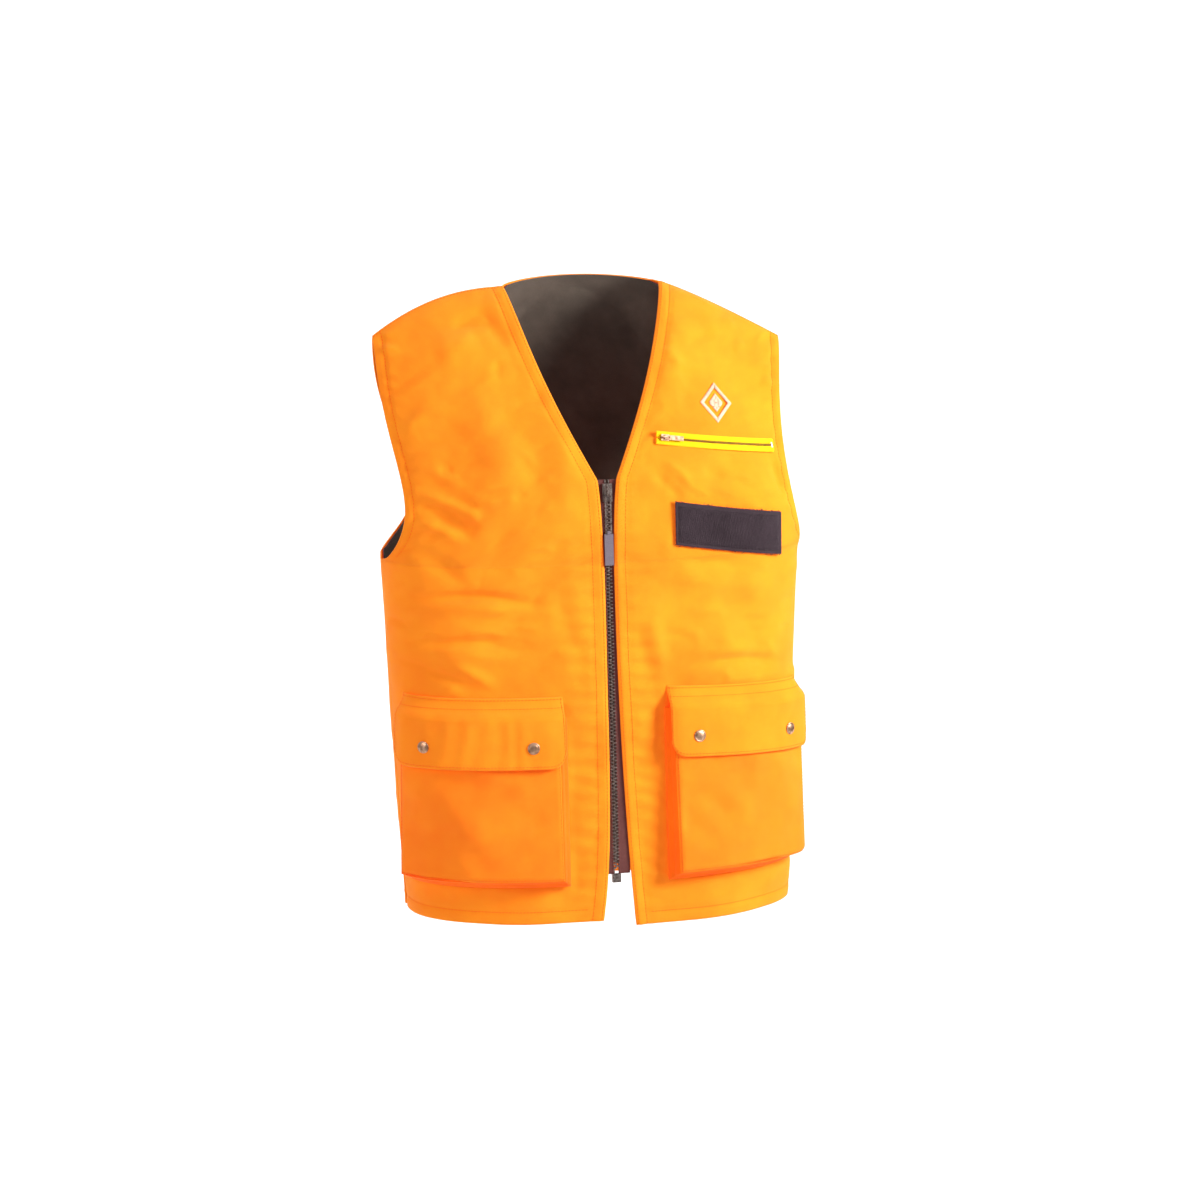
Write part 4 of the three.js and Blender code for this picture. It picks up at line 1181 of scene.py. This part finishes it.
def flap_points(side, skin):
    width = side.pocket[1]
    share, up = np.meshgrid(np.linspace(0, 1, 90), np.linspace(0, 1, 46))
    span = width - 2 * FLAP_INSET
    from_end = np.minimum(share, 1 - share) * span
    cut = np.clip(1 - from_end / FLAP_CORNER, 0, 1)
    seam = flap_seam(side, share)
    low = seam - FLAP_HEIGHT + FLAP_CORNER * (1 - np.sqrt(1 - cut**2))
    z = lerp(low, seam + 1.0, up)
    arc = FLAP_INSET + share * span
    drop = seam - z
    lift = lerp(2.8, pocket_depth(z) + 5.4, smooth((drop + 1) / 23.0))
    waves = flap_waves(side, arc, z)
    lift -= 2.4 * near(from_end, 0, 7)
    edge = np.minimum(from_end, z - low)
    lift += 0.35 * near(edge, 4.5, 3.5) - 0.5 * near(drop, 11.5, 2.4)
    for end in (SNAP_SIDE_INSET + side.snaps[0], width - SNAP_SIDE_INSET - side.snaps[1]):
        from_snap = np.hypot(arc - end, z - (seam - FLAP_HEIGHT + side.snaps[2]))
        waves *= 1 - near(from_snap, 0, 13)
        lift -= 0.9 * near(from_snap, 0, 9)
    lift += waves * smooth((drop - 10) / 18) * smooth(from_end / 14)
    return skin.at(arc, z, lift)[0]


def add_flap(side, skin):
    """The flap is sewn to the front along its top and hangs over the pocket's mouth."""
    points = flap_points(side, skin)
    piece = cloth_mesh(f"{side.name} pocket flap", points, SHELL_THICKNESS, ORANGE, None)
    middle = side.pocket[1] / 2
    seam = flap_seam(side, 0.5)
    hinge = [tuple(skin.at(middle, seam - below, 1.0)[0] * MM) for below in FLAP_HINGE]
    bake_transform(piece)
    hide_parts(f"flap_{side.name}")
    surface = Surface(points)
    lines = [
        offset_columns(surface, TOPSTITCH),
        offset_columns(surface, -TOPSTITCH),
        offset_rows(surface, TOPSTITCH),
        offset_rows(surface, 1.6, from_top=True),
        offset_rows(surface, 11.5, from_top=True),
    ]
    sewn = stitches(f"{side.name} flap stitching", lines, THREAD, None)
    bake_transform(sewn)


# ---- snap caps ---------------------------------------------------------------------------

CAP_PROFILE = [
    (0.0, 4.9),
    (6.0, 4.9),
    (6.45, 5.15),
    (6.55, 5.6),
    (6.3, 6.05),
    (5.7, 6.2),
    (5.3, 6.0),
    (4.95, 5.95),
    (4.6, 6.2),
    (3.6, 6.5),
    (2.1, 6.75),
    (0.9, 6.85),
    (0.0, 6.87),
]


def lathe(profile, point, axis, sides=44):
    """A round solid about an axis from radius and height pairs that start and end at 0."""
    axis = axis / np.linalg.norm(axis)
    first = np.cross(axis, (0.0, 0.0, 1.0))
    first /= np.linalg.norm(first)
    second = np.cross(axis, first)
    turns = 2 * math.pi * np.arange(sides) / sides
    spokes = np.outer(np.cos(turns), first) + np.outer(np.sin(turns), second)
    rings = [point + axis * h + spokes * r for r, h in profile[1:-1]]
    vertices = np.concatenate([*rings, [point + axis * profile[0][1], point + axis * profile[-1][1]]])
    foot, tip = len(vertices) - 2, len(vertices) - 1
    faces = []
    for q in range(sides):
        n = (q + 1) % sides
        faces.append((foot, n, q))
        for r in range(len(rings) - 1):
            low, high = r * sides, (r + 1) * sides
            faces.append((low + q, low + n, high + n, high + q))
        last = (len(rings) - 1) * sides
        faces.append((last + q, last + n, tip))
    return vertices, faces


def add_caps(side, skin):
    inner, outer, up = side.snaps
    width = side.pocket[1]
    places = {"inner": SNAP_SIDE_INSET + inner, "outer": width - SNAP_SIDE_INSET - outer}
    for label, arc in places.items():
        share = (arc - SNAP_SIDE_INSET) / (width - 2 * SNAP_SIDE_INSET)
        z = flap_seam(side, share) - FLAP_HEIGHT + up
        point, normal = skin.at(arc, z, pocket_depth(z))
        vertices, faces = lathe(CAP_PROFILE, point.reshape(3), normal.reshape(3))
        name = f"{side.name} {label} snap cap"
        piece = new_object(name, vertices * MM, faces, BRASS, f"flap_{side.name}")
        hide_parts(f"snap_cap_{side.name}_{label}")


# ---- front zip ---------------------------------------------------------------------------

ZIP_ORIGIN = front_point(LEFT, 0.0, VEE_Z).reshape(3)
ZIP_UP = unit(ZIP_ORIGIN - front_point(LEFT, 0.0, HEM_Z).reshape(3))
ZIP_IN = np.array([0.0, ZIP_UP[2], -ZIP_UP[1]])
ZIP_TOP = -1.0
ZIP_BOTTOM = -423.0
TAPE_EDGES = (2.6, 15.0)  # from the centre plane
TAPE_DEPTH = 2.2
TOOTH_PITCH = 3.8
TOOTH_TOP = -6.0
TOOTH_BOTTOM = -417.0
# One tooth from its foot on the tape to its nose past the centre plane: place and size.
TOOTH_STATIONS = [(3.7, 0.55), (3.3, 0.9), (2.2, 1.0), (0.4, 0.95), (-0.5, 0.8), (-0.85, 0.45)]
TOOTH_SECTION = [
    (1, 0.6),
    (0.6, 1),
    (-0.6, 1),
    (-1, 0.6),
    (-1, -0.6),
    (-0.6, -1),
    (0.6, -1),
    (1, -0.6),
]
TOOTH_HALF = (1.6, 0.86)
TOOTH_DEPTH = 2.6


def zip_points(x, inward, z):
    x, inward, z = np.broadcast_arrays(x, inward, z)
    across = np.stack([x, np.zeros_like(x), np.zeros_like(x)], axis=-1)
    return ZIP_ORIGIN + across + inward[..., None] * ZIP_IN + z[..., None] * ZIP_UP


def tooth(sign, z):
    vertices = []
    for x, size in TOOTH_STATIONS:
        for a, b in TOOTH_SECTION:
            inward = TOOTH_DEPTH + TOOTH_HALF[0] * size * a
            vertices.append(zip_points(sign * x, inward, z + TOOTH_HALF[1] * size * b))
    faces = tube_faces(len(TOOTH_STATIONS), len(TOOTH_SECTION))
    return np.array(vertices), [face[::-1] for face in faces] if sign > 0 else faces


def add_zip_side(side):
    name = side.name
    body = f"front_{name}"
    z = np.linspace(ZIP_BOTTOM, ZIP_TOP, 180)[:, None]
    x = side.sign * np.linspace(*TAPE_EDGES, 16)[None, :]
    ripple = 0.12 * np.sin(z / 3.1) * smooth((np.abs(x) - 5) / 4)
    edge_cord = -0.5 * near(np.abs(x), 3.4, 0.9)
    points = zip_points(x, TAPE_DEPTH + ripple + edge_cord, z)
    tape = cloth_mesh(f"{name} zip tape", points, 0.7, TAPE, body)
    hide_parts(f"zip_{name}_tape")
    shift = 0.0 if side is RIGHT else TOOTH_PITCH / 2
    heights = np.arange(TOOTH_BOTTOM + shift, TOOTH_TOP, TOOTH_PITCH)
    vertices, faces = join_parts([tooth(side.sign, h) for h in heights])
    teeth = new_object(
        f"{name} zip teeth", vertices * MM, faces, ZIP_METAL, body, smooth_shade=False
    )
    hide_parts(f"zip_{name}_teeth")


# ---- wearer's left chest -----------------------------------------------------------------


CHEST_INNER = (60.0, -154.0)  # ends of the chest zip
CHEST_OUTER = (197.0, -174.0)
CHEST_TAPE_EDGES = (0.5, 7.4)  # from the middle of the chest zip
CHEST_TAPE_LIFT = 1.9
CHEST_STITCH = 6.2
COIL_PITCH = 1.25
COIL_HALF = (1.25, 0.42)
COIL_LIFT = 2.75
COIL_END_GAP = 4.0
BADGE_HALF = (19.5, 22.5)
BADGE_RING = 0.74  # size of the lozenge's gap, and of its core, as shares of its own
BADGE_CORE = 0.46
PATCH_INNER = (74.0, -242.5)
PATCH_OUTER = (197.0, -264.0)
PATCH_HEIGHT = 45.0
PATCH_WIDTH = 124.0
PATCH_LIFT = 3.1
PATCH_THICKNESS = 1.2
BAG_X = (66.0, 186.0)
BAG_Z = (-292.0, -196.0)
BAG_DEPTH = 9.0


def skin_frame(x, z):
    """The point of the left front's smooth skin at x and z, its outward normal and the way
    up."""
    along = front_point(LEFT, x + 1, z) - front_point(LEFT, x - 1, z)
    up = unit(front_point(LEFT, x, z + 1) - front_point(LEFT, x, z - 1))
    normal = unit(np.cross(along, up))
    return front_point(LEFT, x, z), np.where(normal[..., 1:2] > 0, -normal, normal), up


class ChestZip:
    """The arc that the chest zip lies on, as in the CAD."""

    def __init__(self):
        x = np.array([lerp(CHEST_INNER[0], CHEST_OUTER[0], share) for share in (0.0, 0.5, 1.0)])
        z = np.array([lerp(CHEST_INNER[1], CHEST_OUTER[1], share) for share in (0.0, 0.5, 1.0)])
        start, middle, end = front_point(LEFT, x, z)
        start, end = start - middle, end - middle
        across = np.cross(start, end)
        to_centre = np.cross(end * (start @ start) - start * (end @ end), across)
        to_centre /= 2 * (across @ across)
        self.radius = np.linalg.norm(to_centre)
        self.inward = to_centre / self.radius
        self.up = unit(across) * (1 if across[2] > 0 else -1)
        self.along = np.cross(self.inward, self.up)
        self.centre = middle + to_centre
        half_chord = np.linalg.norm(start - end) / 2
        self.length = 2 * self.radius * math.asin(half_chord / self.radius)
        cloth_up = skin_frame(x[1], z[1])[2].reshape(3)
        self.lean = math.atan2(cloth_up @ self.inward, cloth_up @ self.up)

    def at(self, distance, height, depth):
        distance, height, depth = np.broadcast_arrays(distance, height, depth)
        y = depth * math.cos(self.lean) + height * math.sin(self.lean) - self.radius
        z = height * math.cos(self.lean) - depth * math.sin(self.lean)
        turn = (distance - self.length / 2) / self.radius
        return (
            self.centre
            + (-y * np.sin(turn))[..., None] * self.along
            + (y * np.cos(turn))[..., None] * self.inward
            + z[..., None] * self.up
        )


def add_chest_tapes(zip_arc, distance):
    near_edge, far_edge = CHEST_TAPE_EDGES
    for name, low, high in (("upper", near_edge, far_edge), ("lower", -far_edge, -near_edge)):
        height = np.linspace(low, high, 14)[:, None]
        share = (np.abs(height) - near_edge) / (far_edge - near_edge)
        crown = 1.1 * np.sin(math.pi * np.clip(share * 0.9 + 0.1, 0, 1)) ** 0.8
        points = zip_arc.at(distance, height, 0.10 * np.sin(distance / 1.9) - crown - CHEST_TAPE_LIFT)
        tape = cloth_mesh(f"chest zip {name} tape", points, 0.8, YELLOW, None)
        turn_with_front(tape, LEFT)
        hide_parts(f"chest_zip_{name}_tape")


def add_chest_coil(zip_arc):
    turns = int((zip_arc.length - 2 * COIL_END_GAP) / COIL_PITCH)
    t = np.linspace(0, turns * 2 * math.pi, turns * 10)
    along = COIL_END_GAP + t / (2 * math.pi) * COIL_PITCH
    height, depth = COIL_HALF[0] * np.cos(t), COIL_HALF[1] * np.sin(t) - COIL_LIFT
    vertices, faces = tube(zip_arc.at(along, height, depth), 0.33)
    coil = new_object("chest zip coil wire", vertices * MM, faces, COIL, None)
    turn_with_front(coil, LEFT)
    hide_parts("chest_zip_coil")


def add_chest_zip():
    zip_arc = ChestZip()
    distance = np.linspace(0.0, zip_arc.length, 120)
    add_chest_tapes(zip_arc, distance[None, :])
    add_chest_coil(zip_arc)
    outward = np.tile(-zip_arc.inward, (len(distance), 1))
    lines = [(zip_arc.at(distance, h, -2.4), outward) for h in (-CHEST_STITCH, CHEST_STITCH)]
    sewn = stitches("chest zip stitching", lines, YELLOW, None, "chest_tape")
    turn_with_front(sewn, LEFT)


def badge_spans(share):
    """Where a row of the lozenge is filled, at a share of its half height."""
    wide = BADGE_HALF[0]
    outer = wide * (1 - share)
    spans = [(-outer, outer)]
    if share < BADGE_RING:
        ring = wide * (BADGE_RING - share)
        spans = [(-outer, -ring), (ring, outer)]
    if share < BADGE_CORE:
        core = wide * (BADGE_CORE - share)
        spans.append((-core, core))
    return spans


def add_badge():
    """Satin stitches that fill a lozenge and a ring round it."""
    point, normal, up = (v.reshape(3) for v in skin_frame(*BADGE_AT))
    along = np.cross(up, normal)
    high = BADGE_HALF[1]
    parts = []
    for y in np.arange(-high + 1, high, 0.85):
        for start, end in badge_spans(abs(y) / high):
            x = np.linspace(start, end, max(2, int((end - start) / 2)))
            path = point + np.outer(x, along) + up * y + normal * 1.5
            span = np.linalg.norm(path[-1] - path[0])
            stitch = span / math.ceil(span / 6.0)
            normals = np.tile(normal, (len(x), 1))
            parts.append(stitch_line(path, normals, stitch, 0.0, 1.05, 0.25))
    vertices, faces = join_parts(parts)
    badge = new_object("lozenge embroidery", vertices * MM, faces, PALE_THREAD, None)
    turn_with_front(badge, LEFT)
    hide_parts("badge")


def patch_points(share, rise, lift):
    """Points over the loop patch's place, with their normals and the way up."""
    share, rise, lift = np.broadcast_arrays(share, rise, lift)
    x = lerp(PATCH_INNER[0], PATCH_OUTER[0], share)
    z = lerp(PATCH_INNER[1], PATCH_OUTER[1], share)
    point, normal, up = skin_frame(x, z)
    return point + up * rise[..., None] + normal * lift[..., None], normal, up


def patch_place(share, rise, lift):
    return [rows[0] for rows in patch_points(np.array([share]), rise, lift)]


def add_patch_threads(name, material, threads):
    vertices, faces = join_parts(threads)
    piece = new_object(name, vertices * MM, faces, material, "front_left")


def add_pile(random):
    """Small loops of thread all over the patch."""
    loops = []
    for row in np.arange(-19.0, 19.5, 1.7):
        for place in np.arange(0.03, 0.975, 0.0125):
            share = place + random.uniform(-0.004, 0.004)
            base, out, up = patch_place(share, row + random.uniform(-0.6, 0.6), 2.9)
            way = unit(np.cross(up, out) * random.uniform(-1, 1) + up * random.uniform(-1, 1))
            t = np.linspace(0, math.pi, 5)[:, None]
            path = base + way * np.cos(t) * 0.55 + out * np.sin(t) * random.uniform(0.5, 0.95)
            loops.append(tube(path, 0.16, 3))
    add_patch_threads("loop patch pile", PILE, loops)


def add_frays(name, material, random, count, reach, radius):
    """Short loose threads that stand out round the rim of the loop patch."""
    frays = []
    for _ in range(count):
        share = random.uniform(0.0, 1.0)
        rise = random.choice((-1, 1)) * PATCH_HEIGHT / 2
        if random.uniform(0, 1) < 0.2:
            share = random.choice((0.0, 1.0))
            rise = random.uniform(-1, 1) * PATCH_HEIGHT / 2
        base, out, up = patch_place(share, rise, 2.4)
        along = np.cross(up, out)
        way = unit(up * np.sign(rise) * random.uniform(0.3, 1) + along * random.uniform(-1, 1))
        t = np.linspace(0, 1, 5)[:, None]
        sag = out * (0.6 * np.sin(3 * t) - 1.1 * t) + along * 0.4 * np.sin(5 * t)
        frays.append(tube(base + way * t * random.uniform(*reach) + sag, radius, 4))
    add_patch_threads(name, material, frays)


def stitch_patch():
    high = PATCH_HEIGHT / 2
    along = np.linspace(-0.004, 1.004, 80)
    lines = [patch_points(along, rise, 1.9)[:2] for rise in (-high - 0.5, high + 0.5)]
    up = np.linspace(-high, high, 30)
    lines += [patch_points(share, up, 1.9)[:2] for share in (-0.004, 1.004)]
    stitches("loop patch stitching", lines, RED_THREAD, "front_left", "loop_pile")


def add_patch():
    share = np.linspace(0, 1, 90)[None, :]
    rise = np.linspace(-PATCH_HEIGHT / 2, PATCH_HEIGHT / 2, 36)[:, None]
    edge = np.minimum(np.minimum(share, 1 - share) * PATCH_WIDTH, PATCH_HEIGHT / 2 - np.abs(rise))
    points, _, _ = patch_points(share, rise, PATCH_LIFT - 0.7 * near(edge, 2.2, 1.5))
    patch = cloth_mesh("loop patch cloth", points, PATCH_THICKNESS, PILE, "front_left")
    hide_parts("loop_patch")
    random = np.random.default_rng(7)
    add_pile(random)
    add_frays("loop patch frayed edge", RED_THREAD, random, 260, (0.8, 2.2), 0.28)
    add_frays("loop patch loose threads", PILE, random, 46, (1.5, 3.6), 0.3)
    stitch_patch()


def add_bag():
    x, z = np.meshgrid(np.linspace(*BAG_X, 40), np.linspace(*BAG_Z, 30))
    point, normal, _ = skin_frame(x, z)
    inside = point - normal * BAG_DEPTH
    bag = cloth_mesh("chest pocket pouch", inside, PATCH_THICKNESS, LINING, "front_left")
    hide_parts("chest_pocket_bag")


# ---- everything together -----------------------------------------------------------------


def dress(material, width, *nodes):
    """Gives carried-over CAD nodes a material and softened edges."""
    for name in nodes:
        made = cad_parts[name]
        made.data.materials.clear()
        made.data.materials.append(material)
        made.data.shade_smooth()
        edges = made.modifiers.new("edges", "BEVEL")
        edges.width = width * MM
        edges.segments = 3
        edges.limit_method = "ANGLE"
        edges.harden_normals = True


def build():
    panels = {side.name: add_front(side) for side in SIDES}
    back = add_back()
    for side in SIDES:
        stitch_front(side, panels[side.name])
        skin = PocketSkin(side)
        add_pocket_front(side, skin)
        add_bellows(side, skin)
        add_flap(side, skin)
        add_caps(side, skin)
        add_zip_side(side)
        for kind in ("socket", "stud"):
            dress(BRASS, 0.25, *[f"snap_{kind}_{side.name}_{end}" for end in ("inner", "outer")])
    stitch_back(back)
    add_chest_zip()
    add_badge()
    add_patch()
    add_bag()
    dress(ZIP_METAL, 0.35, "zip_slider", "zip_puller", "zip_box", "zip_pin")
    dress(ZIP_METAL, 0.3, "zip_right_top_stop", "zip_left_top_stop")
    dress(TAB, 0.5, "zip_tab")
    dress(BRASS, 0.25, "chest_zip_slider", "chest_zip_puller", "chest_zip_end_stop")


build()
